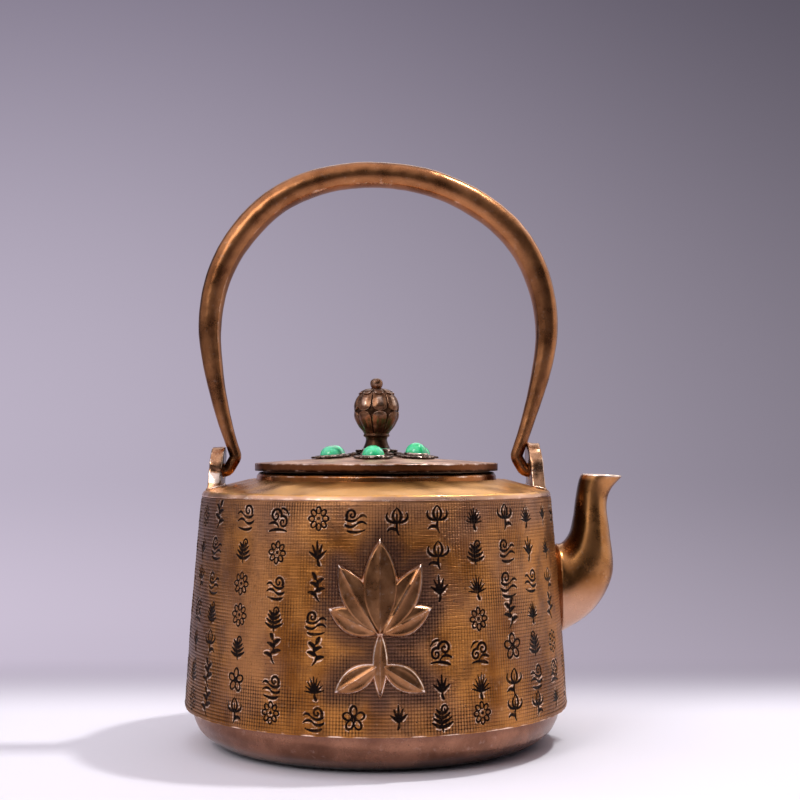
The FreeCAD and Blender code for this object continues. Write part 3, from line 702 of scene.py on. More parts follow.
# %% The finished skin
skin_stand, least_stand = 0.32, 0.03
thread_depth, cut_depth, lip_height, seam_depth, roll_depth = 0.15, 0.29, 0.10, 0.10, 0.16
top_bead, foot_bead = 0.07, 0.16
thread_gap = weave * (1 + 0.45 * ripple(skin_points, 2.6, 15)) * (1 - thread) * (1 - valley)
edge_roll = soft_step(level_grid, 91.2, 92.4) + 1 - soft_step(level_grid, 14.2, 15.0)
stand = (skin_stand - thread_depth * thread_gap - cut_depth * valley + lip_height * lip - seam_depth * seams
         + 0.07 * ripple(skin_points, 22.0, 8) + 0.03 * ripple(skin_points, 5.0, 9)
         - roll_depth * edge_roll * (1 + 0.6 * ripple(skin_points, 6.0, 10))
         + top_bead * hump(level_grid - 91.0 - 0.35 * ripple(skin_points, 9.0, 11), 0, 0.8)
         + foot_bead * hump(level_grid, 15.3, 0.7))
outer = on_wall(turn_grid, level_grid, np.maximum(stand, least_stand))
edge_wear = np.where(level_grid > 50, 0.25, 0.55)
wear = np.clip(rim_worn * edge_wear * (1 + 0.6 * ripple(skin_points, 7.0, 13))
               + (0.55 + 0.30 * np.sign(ripple(skin_points, 5.0, 14))) * lip
               + 0.3 * thread * weave, 0, 1.4)
print("stand from", round(float(stand.min()), 2), "to", round(float(stand.max()), 2), "mm")

# %% [markdown]
# Its finish reads four tones: weave, cut, halo and wear. The standing threads come from the angle round the
# pot, which is worked out from the object's own coordinates, so that the pattern meets itself at the back.

# %% Threads of the woven wall
wall = Finish("woven_wall")
across, height_up = wall.axis("X"), wall.axis("Z")
angle_round = across.sum("ARCTAN2", across, -wall.axis("Y"))
bent = wall.noise(9.0, 2.0)
fine = wall.noise(0.8, 3.0, 0.7)
spots = wall.noise(2.4, 4.0, 0.65)
standing = (angle_round * float(thread_turns) + bent * 2.2).sine() * 0.5 + 0.5
quarter_turn = 1.5708
lying = (height_up * (1 / MM) - wall_foot) * (2 * math.pi / thread_pitch) + bent * 0.8 + quarter_turn
lying_gap = wall.fade(lying.sine() * 0.5 + 0.5, 0.48, 0.10)
weave_tone, cut_tone, halo_tone, wear_tone = (wall.tone(name) for name in ("weave", "cut", "halo", "wear"))
patches = wall.fade(wall.noise(13.0, 2.0, 0.5, (1, 1, 0.55)), 0.36, 0.62)
standing_gap = wall.fade(standing, 0.46, 0.10) * (patches * 0.80 + 0.20)
gaps = (standing_gap.most(lying_gap * 0.7) * 0.70 + standing_gap * lying_gap * 0.6).cap()
gaps = gaps * weave_tone * (wall.fade(fine, 0.28, 0.55) * 0.45 + 0.55)

# %% Colours of the woven wall
clouds = wall.fade(wall.noise(17.0, 3.0, 0.6, (1, 1, 0.6)), 0.34, 0.66)
rosy = wall.fade(wall.noise(30.0, 2.0, 0.5), 0.46, 0.66)
rosy = (rosy * 0.45 + wall.fade(height_up, 0.076, 0.091) * 0.5 + halo_tone * 0.4).cap()
stains = wall.fade(wall.noise(6.5, 3.0, 0.6, (1, 1, 0.7)), 0.50, 0.68)
worn = wall.fade(wear_tone + (spots - 0.5) * 0.8, 0.45, 1.0)
inked = wall.fade(cut_tone, 0.06, 0.40)
wall_pits = wall.pits(4.2, 0.42, 0.22)
colour = wall.mix(clouds, (0.27, 0.095, 0.019), (0.58, 0.242, 0.060))
layers = (
    (stains * 0.45, (0.13, 0.055, 0.028)),
    (rosy * 0.75, (0.38, 0.205, 0.135)),
    (wall.fade(spots, 0.60, 0.82) * 0.35, (0.85, 0.55, 0.32)),
    (wall.fade(fine, 0.46, 0.26) * 0.65, (0.05, 0.022, 0.013)),
    (gaps * 0.95, (0.022, 0.009, 0.008)),
    (halo_tone * 0.62, (0.055, 0.028, 0.024)),
    (worn * (1.0 - halo_tone * 0.7), (0.95, 0.70, 0.54)),
    (inked * (wall.fade(spots, 0.25, 0.50) * 0.22 + 0.78), (0.012, 0.0075, 0.0065)),
    # Painted shade: the wall's left side is darkened.
    (wall.fade(across, -0.050, -0.070) * 0.50, (0.045, 0.017, 0.007)),
    (wall_pits * 0.8, (0.02, 0.011, 0.008)))
for share, tint in layers:
    colour = wall.mix(share, colour, tint)
rough = 0.35 + clouds * 0.08 + gaps * 0.18 + inked * 0.12 - worn * 0.10 + (fine - 0.5) * 0.14
wall.set(Base_Color=colour, Metallic=1.0 - wall_pits * 0.5, Roughness=rough.cap())
wall.emboss(1.0 - gaps + fine * 0.30 + spots * 0.35 - wall_pits * 0.8, 0.26)
print("woven wall", len(wall.tree.nodes), "shader nodes")

# %% Four belts of skin
belts = 4
back_rows, back_stand = 3, 0.01
belt_rows = skin_rows // belts
plain = np.zeros((back_rows, len(columns)))
for belt in range(belts):
    rows = slice(belt * belt_rows, (belt + 1) * belt_rows + 1)
    back_levels = np.linspace(levels[rows][-1], levels[rows][0], back_rows)[:, None]
    grid = np.concatenate([outer[rows], on_wall(columns, back_levels, back_stand)])
    tones = {name: np.concatenate([tone[rows], plain]) for name, tone in
             (("weave", weave), ("cut", valley), ("halo", halo), ("wear", wear))}
    make_piece("wall_belt_%d" % (belt + 1), [woven(grid, along=True, **tones)], wall,
               "pot", 60.0)

# %% [markdown]
# The blades of the lotus are thick petals with a rounded bevel all round, a shallow hollow in the middle
# and a keel. Each is a closed skin: its upper side follows the blade from edge to edge, its under side lies
# in the wall.

# %% The raised lotus


def blade_skin(lean, length, width, root, stand):
    """A blade as a closed grid. The height over the wall is a bevel that rises within 1.5 mm of the edge,
    less a hollow that is deepest half way out, plus a narrow keel."""
    along = 0.5 - 0.5 * np.cos(np.linspace(0, math.pi, 72))[:, None]
    across = np.sin(np.linspace(-math.pi / 2, math.pi / 2, 31))[None, :]
    x, z, half = blade_outline(lean, length, width, root, along, across)
    inset = (1 - np.abs(across)) * half
    tip_inset = np.minimum(along, 1 - along) * length * emblem_height * 0.55
    rise = soft_step(np.minimum(inset, tip_inset), -0.25, 1.45)
    hollow = 0.32 * np.sin(math.pi * np.abs(across)) * rise
    keel = 0.18 * hump(across * half, 0, 0.45) * rise
    height = 0.15 + stand * rise ** 0.75 - hollow + keel
    # The bevel's slope and the keel are painted bright: a painted highlight, carried in the wear tone.
    shade = np.clip(0.85 - np.abs(rise - 0.45) * 2.0, 0, 1) + 0.5 * hump(across * half, 0, 0.35) * rise
    under = np.full_like(height, 0.02)
    both_x, both_z = (np.concatenate([side, side[:, ::-1]], axis=1) for side in (x, z))
    radius = wall_radius(both_z) + np.concatenate([height, under], axis=1)
    grid = np.stack([both_x, -np.sqrt(radius ** 2 - both_x ** 2), both_z], axis=-1)
    return woven(grid, poles=(True, True), wear=np.concatenate([shade, np.zeros_like(shade)], axis=1))


emblem = make_piece("lotus_emblem", [blade_skin(*blade) for blade in blades],
                    finishes["brushed_emblem"], "pot", 50.0)
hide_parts("lotus_relief")

# %% [markdown]
# Turned pieces are outlines carried round the axis. The outline is drawn as corners, each with a small
# radius, and long sides are divided, so that the unevenness of hand work has points to move.

# %% Rounded corners


def corner_arc(before, here, after, radius, steps):
    """An arc in place of a corner, touching both sides: (sin((1-t) A) a + sin(t A) b) / sin A, where a and
    b point from its centre to its ends and A is the angle between them. It takes at most 0.48 of either
    side. A corner that is nearly straight, or has no radius, stays one point."""
    first, second = before - here, after - here
    room = 0.48 * min(np.linalg.norm(first), np.linalg.norm(second))
    first, second = first / np.linalg.norm(first), second / np.linalg.norm(second)
    half, nearly_straight = math.acos(np.clip(first @ second, -1, 1)) / 2, 1.55
    reach = min(radius / math.tan(half), room) if half < nearly_straight else 0.0
    if reach < 1e-6:
        return here[None]
    centre = here + (first + second) / np.linalg.norm(first + second) * reach / math.cos(half)
    a, b = here + first * reach - centre, here + second * reach - centre
    sweep = math.pi - 2 * half
    t = np.linspace(0, 1, steps)[:, None]
    return centre + (np.sin((1 - t) * sweep) * a + np.sin(t * sweep) * b) / math.sin(sweep)


def corner_arcs(corners, steps):
    """One arc for each row of (radius, height, rounding, ...), the last row being followed by the first."""
    neighbours = zip(np.roll(corners, 1, axis=0), corners, np.roll(corners, -1, axis=0))
    return [corner_arc(before[:2], here[:2], after[:2], here[2], steps) for before, here, after in neighbours]


# %% Turned shapes


def rounded(corners, steps=5, spacing=1.2):
    """A closed outline from rows of (radius, height, rounding, wear), with points no further apart than the
    spacing or so. The wear tone is full on the arcs of worn corners and faint between them."""
    corners = np.array(corners, float)
    arcs = corner_arcs(corners, steps)
    points = np.concatenate(arcs)
    tone = np.repeat(corners[:, 3], [len(arc) for arc in arcs])
    filled, filled_tone = [], []
    for p, q, s, u in zip(points, np.roll(points, -1, axis=0), tone, np.roll(tone, -1)):
        parts = max(1, int(np.linalg.norm(q - p) / spacing))
        t = np.arange(parts) / parts
        filled.append(p + (q - p) * t[:, None])
        filled_tone.append(np.where(t == 0, s, 0.12 * min(s, u)))
    return np.concatenate(filled), np.concatenate(filled_tone)


def turned(corners, columns=256, sway=0.0, wavelength=9.0, seed=1, **options):
    """The outline carried round the axis: radius times cosine and sine of the angle. Sway moves the points
    in and out, and up and down, by that many millimetres of ripple."""
    outline, tone = rounded(corners, **options)
    radius = outline[:, :1]
    grid = carried(radius, full_turn(columns), outline[:, 1:])
    if sway:
        swell = sway * ripple(grid, wavelength, seed)[..., None]
        out = grid * np.array([1.0, 1.0, 0.0]) / np.maximum(radius, 1.0)[..., None]
        grid = grid + swell * (out + np.array([0.0, 0.0, 0.5]))
    return woven(grid, along=True, wear=tone[:, None] * (1 + 0.35 * ripple(grid, 7.0, seed + 50)))


# %% [markdown]
# The pan under the wall is a plain dish with a round corner. The shoulder is a sloping ring whose outer
# edge has been hammered down over the wall and rubbed bright. The collar round the mouth is a low band.

# %% Pan, shoulder and collar
pan = make_piece("pan_shell", [turned([
    (0.6, 0.3, 0.0, 0.0), (54.0, 0.3, 0.5, 0.0), (55.2, 0.0, 1.0, 0.0), (56.8, 0.0, 3.0, 0.0),
    (60.8, 1.5, 9.0, 0.0), (66.7, 5.6, 8.0, 0.0), (69.1, 10.6, 8.0, 0.0), (69.3, 18.2, 0.4, 0.0),
    (67.1, 18.2, 0.4, 0.0), (66.0, 8.0, 4.0, 0.0), (58.0, 2.2, 3.0, 0.0), (0.6, 2.2, 0.0, 0.0)],
    sway=0.06, wavelength=16.0, seed=21, steps=9, spacing=1.6)],
    finishes["pink_brown_pan"], "pot")
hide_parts("base_pan")

shoulder = make_piece("shoulder_shell", [turned([
    (66.1, 92.35, 0.2, 0.2), (66.48, 92.75, 0.4, 0.5), (65.6, 94.4, 1.3, 0.15), (61.0, 95.6, 3.0, 0.05),
    (48.5, 98.75, 1.5, 0.05), (46.05, 97.95, 0.5, 0.0), (46.05, 95.8, 0.2, 0.0), (48.2, 95.8, 0.5, 0.0),
    (63.9, 92.5, 0.2, 0.0)], columns=360, sway=0.20, wavelength=12.0, seed=22, steps=7, spacing=0.8)],
    finishes["golden_shoulder"], "pot")
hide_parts("shoulder_plate")

collar = make_piece("collar_band", [turned([
    (45.85, 94.6, 0.2, 0.0), (45.95, 98.2, 0.4, 0.0), (45.8, 100.1, 0.5, 0.45), (44.9, 101.4, 0.8, 0.1),
    (43.7, 101.5, 0.35, 0.0), (43.7, 94.6, 0.2, 0.0)], sway=0.09, wavelength=14.0, seed=23, spacing=0.5)],
    finishes["worn_collar"], "pot")
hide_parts("neck_collar")

# %% [markdown]
# The lid is a flat cone with a thick rim. Its edge was turned on a lathe and then knocked about for years,
# so small chips shine along it. The flange under it, the stud, the washer and the nut keep their solid
# shapes.

# %% Lid
lid = make_piece("lid_plate", [turned([
    (46.5, 101.95, 0.35, 0.35), (46.5, 104.85, 0.4, 0.50), (45.2, 104.95, 0.6, 0.1), (1.9, 107.87, 0.0, 0.0),
    (1.9, 105.67, 0.0, 0.0), (40.0, 103.13, 0.0, 0.0), (40.0, 101.95, 0.0, 0.0)],
    columns=320, sway=0.045, wavelength=10.0, seed=24, spacing=0.7)],
    finishes["speckled_lid"], "lid")
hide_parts("lid_disc")

# %% [markdown]
# A rod that bends is a ring of points carried along a path. The handle hooks through both ears. From each
# pin it turns up at a slant, bends at an elbow, and swells from a thin leg to a full arch.

# %% The handle's line


def even_steps(path, spacing):
    """The same line with points an even distance apart, and how far along it each point lies."""
    travel = np.concatenate([[0.0], np.cumsum(np.linalg.norm(np.diff(path, axis=0), axis=1))])
    at = np.linspace(0, travel[-1], int(travel[-1] / spacing) + 1)
    return np.stack([np.interp(at, travel, path[:, k]) for k in range(path.shape[1])], axis=-1), at


pivot = 101.732
pin_end, hook_corner, elbow = 63.05, 56.95, (53.75, 107.23)
hook_bend, elbow_bend = 2.5, 2.7
spring_level, half_span, arch_rise = 155.13, 64.8, 60.9
leg_power, arch_power = 1.55, 2 / 2.12
arch_shift, arch_slant = 0.9, 0.026
shares = np.linspace(1, 0, 60)[1:]
leg = np.stack([half_span - (half_span - elbow[0]) * shares ** leg_power,
                spring_level - (spring_level - elbow[1]) * shares], axis=-1)
arch_angle = np.linspace(0, math.pi / 2, 70)[1:]
arch = np.stack([half_span * np.cos(arch_angle) ** arch_power,
                 spring_level + arch_rise * np.sin(arch_angle) ** arch_power], axis=-1)
hook = np.concatenate(corner_arcs(np.array([(pin_end, pivot, 0.0), (hook_corner, pivot, hook_bend),
                                            (*elbow, elbow_bend), (*leg[3], 0.0)]), 9))
right = np.concatenate([hook[:-1], leg[3:], arch])
whole = np.concatenate([right, right[::-1][1:] * np.array([-1.0, 1.0])])
whole[:, 0] += arch_shift * soft_step(whole[:, 1], 112.0, 158.0)
whole[:, 1] -= arch_slant * whole[:, 0] * soft_step(whole[:, 1], 188.0, 212.0)
path, travel = even_steps(whole, 0.85)
from_end = np.minimum(travel, travel[-1] - travel)
print("handle", round(float(travel[-1])), "mm long")

# %% [markdown]
# The handle stays in one plane, so across is the path's direction turned by a right angle in that plane,
# and deep is always towards the back. Its section swells from a round pin to a slightly squared oval.

# %% The handle's rings
pin_radius, arch_across, arch_deep = 2.25, 5.2, 5.8
# Distance from the pin's end, share of the full section
growth_table = np.array([(0, 0.0), (13.5, 0.02), (20, 0.05), (28, 0.15), (39, 0.33), (50, 0.54), (62, 0.70),
                         (84, 0.88), (107, 1.0), (130, 0.97), (155, 0.90)])
growth = np.interp(from_end, *growth_table.T)[:, None]
heading = np.gradient(path, axis=0)
heading /= np.linalg.norm(heading, axis=1)[:, None]
ring_turn = full_turn(88)[None, :]
square = 2 / (2 + np.clip(2 * growth, 0, 1) * 0.22)
half_across = squared_off(np.cos(ring_turn), square) * (pin_radius + growth * (arch_across - pin_radius))
half_deep = squared_off(np.sin(ring_turn), square) * (pin_radius + growth * (arch_deep - pin_radius))
grid = np.stack([path[:, :1] - heading[:, 1:] * half_across, half_deep,
                 path[:, 1:] + heading[:, :1] * half_across], axis=-1)
print("handle rings", grid.shape)

# %% [markdown]
# A crease runs along each inner edge of the handle, left by the file that dressed the casting: a narrow
# ridge with a flat on either side of it. Which way across points matters, because the creases lie on the
# inner side. The tone called wear paints each ridge bright as a painted highlight, over faint uneven rubbing.

# %% Creases and ends of the handle
arch_middle = 150.0
centre_line = np.stack([path[:, 0], np.zeros(len(path)), path[:, 1]], axis=-1)[:, None, :]
out_side = grid - centre_line
inward = np.sign(out_side[:, :1, 0] * centre_line[:, :, 0]
                 + out_side[:, :1, 2] * (centre_line[:, :, 2] - arch_middle))
crease_turn = np.where(inward > 0, math.pi, 0.0)
ridge, flat = 0.0, 0.0
for side_turn, strength in ((-0.74, 1.0), (0.74, 0.8)):
    apart = turned_apart(ring_turn - crease_turn, side_turn * np.where(inward > 0, -1, 1))
    ridge = ridge + strength * hump(apart, 0, 0.10)
    flat = flat + strength * hump(np.abs(apart), 0.42, 0.26)
grown = np.clip(growth * 1.6, 0, 1)
swell = (0.17 * ridge - 0.07 * flat) * grown + 0.07 * ripple(grid, 17.0, 31) + 0.03 * ripple(grid, 5.0, 32)
grid = grid + out_side / np.linalg.norm(out_side, axis=-1, keepdims=True) * swell[..., None]
# A painted highlight along the ridges, over faint uneven rubbing.
wear = np.clip(ridge * 0.45 * grown + 0.18 * ripple(grid, 9.0, 33), 0, 1.2)
near_tip, far_tip = (np.repeat(centre_line[k][None], ring_turn.size, axis=1) for k in (0, -1))
grid = np.concatenate([near_tip, grid, far_tip])
wear = np.concatenate([wear[:1], wear, wear[-1:]])
handle = make_piece("bail_rod", [woven(grid, poles=(True, True), wear=wear)], finishes["orange_brown_handle"],
                    "bail", 50.0)
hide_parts("bail_handle")

# %% [markdown]
# The ears are thick tongues of bronze, round at the head and broad at the foot, with a hole for the
# handle's pin. A plate with a hole is a ring: every row starts at the hole, runs over the front face to the
# outer edge, round it, and back over the rear face into the hole. A lumpy bead of braze joins the foot to
# the shoulder.

# %% An ear's outline
ear_middle, ear_half, head_radius, hole_radius = 61.3, 2.45, 9.2, 2.95
ear_foot, foot_half = 94.0, 11.9
ear_lean, lean_level = math.radians(4.0), 95.33
taller_head = 0.17


def ear_reach(angle):
    """Distance from the pivot to the ear's outline: the head's radius above, and below it the nearer of the
    slanting side and the foot, each as offset over the cosine to its normal."""
    y, z = np.cos(angle), np.sin(angle)
    side_run, side_drop = foot_half - head_radius, pivot - ear_foot
    length = math.hypot(side_run, side_drop)
    normal_y, normal_z = side_drop / length, side_run / length
    side_reach = head_radius * normal_y / np.maximum(np.abs(y) * normal_y + np.minimum(z, 0) * normal_z, 1e-3)
    foot_reach = side_drop / np.maximum(-z, 1e-3)
    return np.where(z >= 0, head_radius, np.minimum(side_reach, foot_reach))


# %% Skin of an ear
# Share of the way out, inset in millimetres, place across the thickness
front_rows = np.array([
    (0, 0.0, 0.80), (0, 0.25, 1.0), (0.3, 0, 1.0), (0.65, 0, 1.0), (1, -0.62, 1.0), (1, -0.34, 0.97),
    (1, -0.09, 0.88), (1, 0.0, 0.70), (1, 0.03, 0.2)])
ear_ring = np.concatenate([front_rows, front_rows[::-1] * [1, 1, -1], [(0, 0, 0)]])


def ear_skin(mirror):
    """One ear as a closed ring of rows, leaning in towards the axis, with small hammered facets on its rim.
    The head of the one on the spout's side is a little taller; the other one has a painted highlight on its
    front edge."""
    way_out, inset, thick = ear_ring.T
    spout_side = mirror > 0
    angle = full_turn(220)[:, None]
    taller = taller_head if spout_side else 0.0
    reach = ear_reach(angle) * (1 + taller * np.maximum(np.sin(angle), 0) ** 1.5)
    radius = hole_radius + way_out * (reach - hole_radius) + inset
    y, z = radius * np.cos(angle), pivot + radius * np.sin(angle)
    x = ear_middle + thick * ear_half - math.tan(ear_lean) * (z - lean_level)
    grid = np.stack([x, y, z], axis=-1)
    dents = ripple(grid, 4.2, 41 if spout_side else 43)[..., None]
    facets = np.round(dents * 1.5) / 1.5
    push = np.stack(np.broadcast_arrays(np.sign(thick) * 0.4, np.cos(angle), np.sin(angle)), axis=-1)
    grid = grid + push * soft_step(way_out, 0.6, 1.0)[None, :, None] * (0.10 * dents + 0.07 * facets)
    rim_wear = soft_step(way_out, 0.9, 1.0) * (1 - np.abs(thick)) * 0.3
    edge_wear = (np.abs(np.abs(thick) - 0.9) < 0.1) * 0.45
    wear = ((rim_wear + edge_wear) * (way_out > 0.5))[None, :] * (1 + 0.5 * dents[..., 0])
    # A painted highlight: a band of the far ear's rim, on its front half only.
    if not spout_side:
        on_rim = (np.abs(thick) < 0.9) * (way_out == 1) * (y < 0)
        wear = wear + 1.2 * np.exp(-(((z - 99.4) / 1.9) ** 4)) * on_rim
    # The face towards the pot's axis is darker, more so on the far ear.
    sunk = soft_step(-thick, 0.86, 0.98) * (0.55 if spout_side else 0.9)
    grid[..., 0] *= mirror
    return woven(grid, along=True, wear=np.clip(wear, 0, 1.3), sunk=sunk)


# %% Braze at the foot, and both ears
bead_half_deep, bead_half_long = 2.65, 11.45


def braze_bead(mirror):
    """A closed lumpy tube round the ear's foot: a rounded rectangle with powers of cosine and sine, laid on
    the shoulder's slope, its thickness swelling and shrinking."""
    t = full_turn(150)[:, None]
    ring = full_turn(12)[None, :, None]
    px = ear_middle + bead_half_deep * squared_off(np.cos(t), 0.35)
    py = bead_half_long * squared_off(np.sin(t), 0.35)
    shoulder_level = 94.3 + 4.5 * (65.2 - px) / 17.0
    spine = np.stack([px, py, shoulder_level + 0.10], axis=-1)
    lump = 0.62 + 0.20 * ripple(spine * np.array([1, 1, 0]), 3.1, 45 + mirror) + 0.12 * ripple(spine, 1.7, 47)
    out = np.stack([(px - ear_middle) / bead_half_deep, py / bead_half_long, 0 * px], axis=-1)
    out = out / np.linalg.norm(out, axis=-1, keepdims=True)
    grid = spine + lump[..., None] * (out * np.cos(ring) + np.array([0, 0, 1.0]) * np.sin(ring))
    grid[..., 0] *= mirror
    return woven(grid, along=True, wear=0.25 + 0.35 * (np.sin(ring[..., 0]) > 0.2), sunk=0.0)


for name, mirror in (("ear_spout_side", 1), ("ear_far_side", -1)):
    piece = make_piece(name.replace("ear", "lug"), [ear_skin(mirror), braze_bead(mirror)],
                       finishes["hammered_ear"], "pot", 40.0)
    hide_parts(name)

# %% [markdown]
# The spout swings out from the wall and up to a level mouth with a sharp pouring tip. Eight cross-sections
# give its upper and lower line and its width; smooth curves through them give as many rings as the light
# needs. The skin goes up outside, over the lip, and down inside.

# %% Rings of the spout
spout_low, spout_rise, spout_root, spout_reach, spout_half = 41.5, 58.7, 69.6, 25.0, 13.0
spout_wall, root_flare, lip_round = 1.6, 1.1, 0.55
# Upper line out and up, lower line out and up, width, as shares of the reach, the rise and the half width
sections = np.array([
    (-0.36, 0.511, -0.36, 0.026, 0.94), (0.00, 0.535, 0.07, 0.000, 1.00), (0.175, 0.610, 0.55, 0.123, 0.94),
    (0.244, 0.715, 0.84, 0.349, 0.79), (0.276, 0.814, 0.81, 0.613, 0.61), (0.304, 0.894, 0.76, 0.792, 0.51),
    (0.332, 0.956, 0.824, 0.901, 0.49), (0.368, 1.000, 1.000, 0.990, 0.52)])
spout_turn = full_turn(112)[None, :]


def through(knots, at):
    """A smooth curve through rows of numbers: between two rows the cubic whose slopes are half the
    difference of the rows on either side, 2tcubed - 3tsquared + 1 and its fellows as weights."""
    at = np.clip(at, 0, len(knots) - 1 - 1e-9)
    k = at.astype(int)
    t = (at - k)[:, None]
    slopes = np.gradient(knots, axis=0)
    a, b = knots[k], knots[k + 1]
    return ((2 * t ** 3 - 3 * t ** 2 + 1) * a + (t ** 3 - 2 * t ** 2 + t) * slopes[k]
            + (3 * t ** 2 - 2 * t ** 3) * b + (t ** 3 - t ** 2) * slopes[k + 1])


def spout_rings(at, shrink):
    """Rings of the spout: ellipses that reach from the upper to the lower point and are as wide as the
    section says, less the wall's thickness, and flared where they meet the pot."""
    rows = through(sections, at)
    upper, lower = (np.stack([spout_root + spout_reach * out, spout_low + spout_rise * rise], axis=-1)
                    for out, rise in (rows[:, :2].T, rows[:, 2:4].T))
    middle, gap = (upper + lower) / 2, lower - upper
    long_half = np.linalg.norm(gap, axis=1, keepdims=True) / 2
    gap = gap / (2 * long_half)
    flare = root_flare * np.exp(-np.abs(at - 0.95)[:, None] / 0.22)
    reach = (long_half - shrink + flare) * np.cos(spout_turn)
    wide = (spout_half * rows[:, 4:] - shrink + flare) * np.sin(spout_turn)
    return np.stack([middle[:, :1] + gap[:, :1] * reach, wide, middle[:, 1:] + gap[:, 1:] * reach], -1)


# %% Spout
mouth = len(sections) - 1.0
up, down = np.linspace(0.35, mouth, 110), np.linspace(mouth, 0.9, 60)
outside, inside = spout_rings(up, 0.0), spout_rings(down, spout_wall)
over = np.linspace(0, math.pi, 9)[1:-1, None, None]
lip_rows = ((outside[-1] + inside[0]) / 2 + (outside[-1] - inside[0]) / 2 * np.cos(over)
            + np.array([0, 0, lip_round]) * np.sin(over))
grid = np.concatenate([outside, lip_rows, inside])
grid = grid + 0.07 * ripple(grid, 15.0, 51)[..., None] * np.array([0.6, 1.0, 0.4])
wear = np.concatenate([np.zeros(len(up) - 2), [0.55, 0.9], np.full(len(lip_rows), 1.3), [0.7],
                       np.zeros(len(down) - 1)])
station = np.concatenate([up, np.full(len(lip_rows), mouth), down])[:, None]
# Painted shade: the spout's side towards the pot is dark from the root to below the mouth. The inside is
# darker as well.
pot_side = soft_step(-np.cos(spout_turn), 0.06, 0.62)
sunk = 0.92 * pot_side * soft_step(station, 1.0, 2.2) * (1 - soft_step(station, 6.2, 6.9))
sunk[-len(down):] = 0.8
spout = make_piece("spout_shell", [woven(grid, along=True, wear=wear[:, None], sunk=sunk)],
                   finishes["polished_spout"], "pot", 60.0)
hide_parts("spout")

# %% [markdown]
# The knob is a lotus bud. Its turned outline carries a coat of petals: the lower ones stand up with round
# tops, the upper ones hang down to meet them, and dark diamonds are left between. A petal is a region of
# the angle and the height; inside it the surface is pillowed.

# %% Petals of the knob
knob_seat = 110.5
petals_round, petal_girth, petal_offset = 8, 8.8, 0.14
lower_foot, lower_tip = 5.6, 14.3
upper_tip, upper_top = 14.15, 21.6
cap_foot, cap_tip, cap_top = 20.0, 20.5, 23.2
petal_sink, cap_lift = 0.50, 0.12
knob_line = np.array([
    (2.0, 0.0), (5.1, 0.0), (5.1, 0.4), (4.8, 0.8), (4.5, 1.5), (4.2, 2.4), (4.05, 3.2), (4.2, 4.0),
    (4.5, 4.35), (4.95, 4.45), (5.05, 4.85), (4.95, 5.25), (4.75, 5.4), (4.95, 6.2), (5.75, 7.5), (6.85, 9.3),
    (7.75, 11.2), (8.30, 12.8), (8.45, 14.2), (8.30, 15.8), (7.85, 17.5), (7.20, 19.1), (6.55, 20.3),
    (5.95, 21.1), (5.0, 21.9), (3.6, 22.6), (2.2, 22.95), (1.8, 23.15), (2.2, 23.7), (2.45, 24.7),
    (2.35, 25.6), (1.8, 26.35), (0.9, 26.8), (0.0, 26.87)])


def inside_petal(turn, z, tip, upward):
    """Distance in millimetres from a petal's outline, positive inside. A petal has straight sides and a
    blunt tip: its radius less (a to the 2.35 + p to the 2.35) to the 1 / 2.35, where a is the distance from
    the centre line and p the way past the tip's centre."""
    half_pitch = math.pi * petal_girth / petals_round
    aside = np.abs(((turn - petal_offset) * petals_round / (2 * math.pi) + 0.5) % 1.0 - 0.5) * 2 * half_pitch
    tip_radius = half_pitch * 0.985
    past = np.maximum(z - (tip - tip_radius), 0) if upward else np.maximum(tip + tip_radius - z, 0)
    return tip_radius - (aside ** 2.35 + past ** 2.35) ** (1 / 2.35)


def petal_relief(inset):
    """Height of a petal over the ground: a steep edge, a narrow rim and a pillow inside it."""
    return (0.66 * soft_step(inset, -0.02, 0.24) + 0.07 * hump(inset, 0.30, 0.14)
            + 0.48 * soft_step(inset, 0.1, 3.0))


# %% Knob
profile, _ = even_steps(knob_line, 0.18)
turn = full_turn(400)[None, :] - math.pi / 2 + math.radians(6)
z = profile[:, 1:]
lower_edge = np.minimum(inside_petal(turn, z, lower_tip, True), z - lower_foot)
upper_edge = np.minimum(inside_petal(turn, z, upper_tip, False), upper_top - z)
cap_edge = np.minimum(inside_petal(turn, z, cap_tip, False), cap_top - z)
in_cap = z > cap_foot
relief = np.maximum(petal_relief(lower_edge), petal_relief(upper_edge)) - petal_sink
relief = np.maximum(relief, np.where(in_cap, petal_relief(cap_edge) + cap_lift, -petal_sink))
petal_band = soft_step(z, 5.5, 6.3) * (1 - soft_step(z, 22.7, 23.1))
grid = carried(profile[:, :1] + relief * petal_band, turn, knob_seat + z)
grid = grid + 0.025 * ripple(grid, 3.0, 61)[..., None]
# The petals' rims are rubbed bright, and their pillows carry a painted highlight, stronger on the upper
# petals.
rims = sum(hump(edge, 0.30, 0.16) for edge in (lower_edge, upper_edge, cap_edge))
pillow = np.maximum(soft_step(lower_edge, 0.8, 2.6), 1.9 * soft_step(upper_edge, 0.8, 2.6))
wear = (petal_band * np.clip(0.55 * rims + 0.30 * pillow, 0, 1)
        + (1 - petal_band) * 0.4 * soft_step(z, 22.9, 24.0) + 0.35 * hump(z, 4.85, 0.35))
any_edge = np.maximum(np.maximum(lower_edge, upper_edge), np.where(in_cap, cap_edge, -1.0))
between = petal_band * (1 - soft_step(any_edge, 0.0, 0.30))
# The dark tone: a dark skin kept in the grooves between the petals, and darker over the neck and the lower
# petals.
neck = 0.78 - 0.25 * soft_step(z, 3.6, 5.6) - 0.53 * soft_step(z, 7.0, 13.5)
bud = woven(grid, poles=(False, True), wear=wear, sunk=np.maximum(between * 0.72, neck))
knob = make_piece("bud_knob", [bud], finishes["antique_knob"], "lid", 55.0)
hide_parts("lotus_knob")

# %% [markdown]
# Under the knob lies a pierced flower, and each stone sits in a smaller one. They are filigree: loops of
# wire soldered into petals. One helper lays rings of loops on the lid's cone; a small turned ring holds
# each stone.

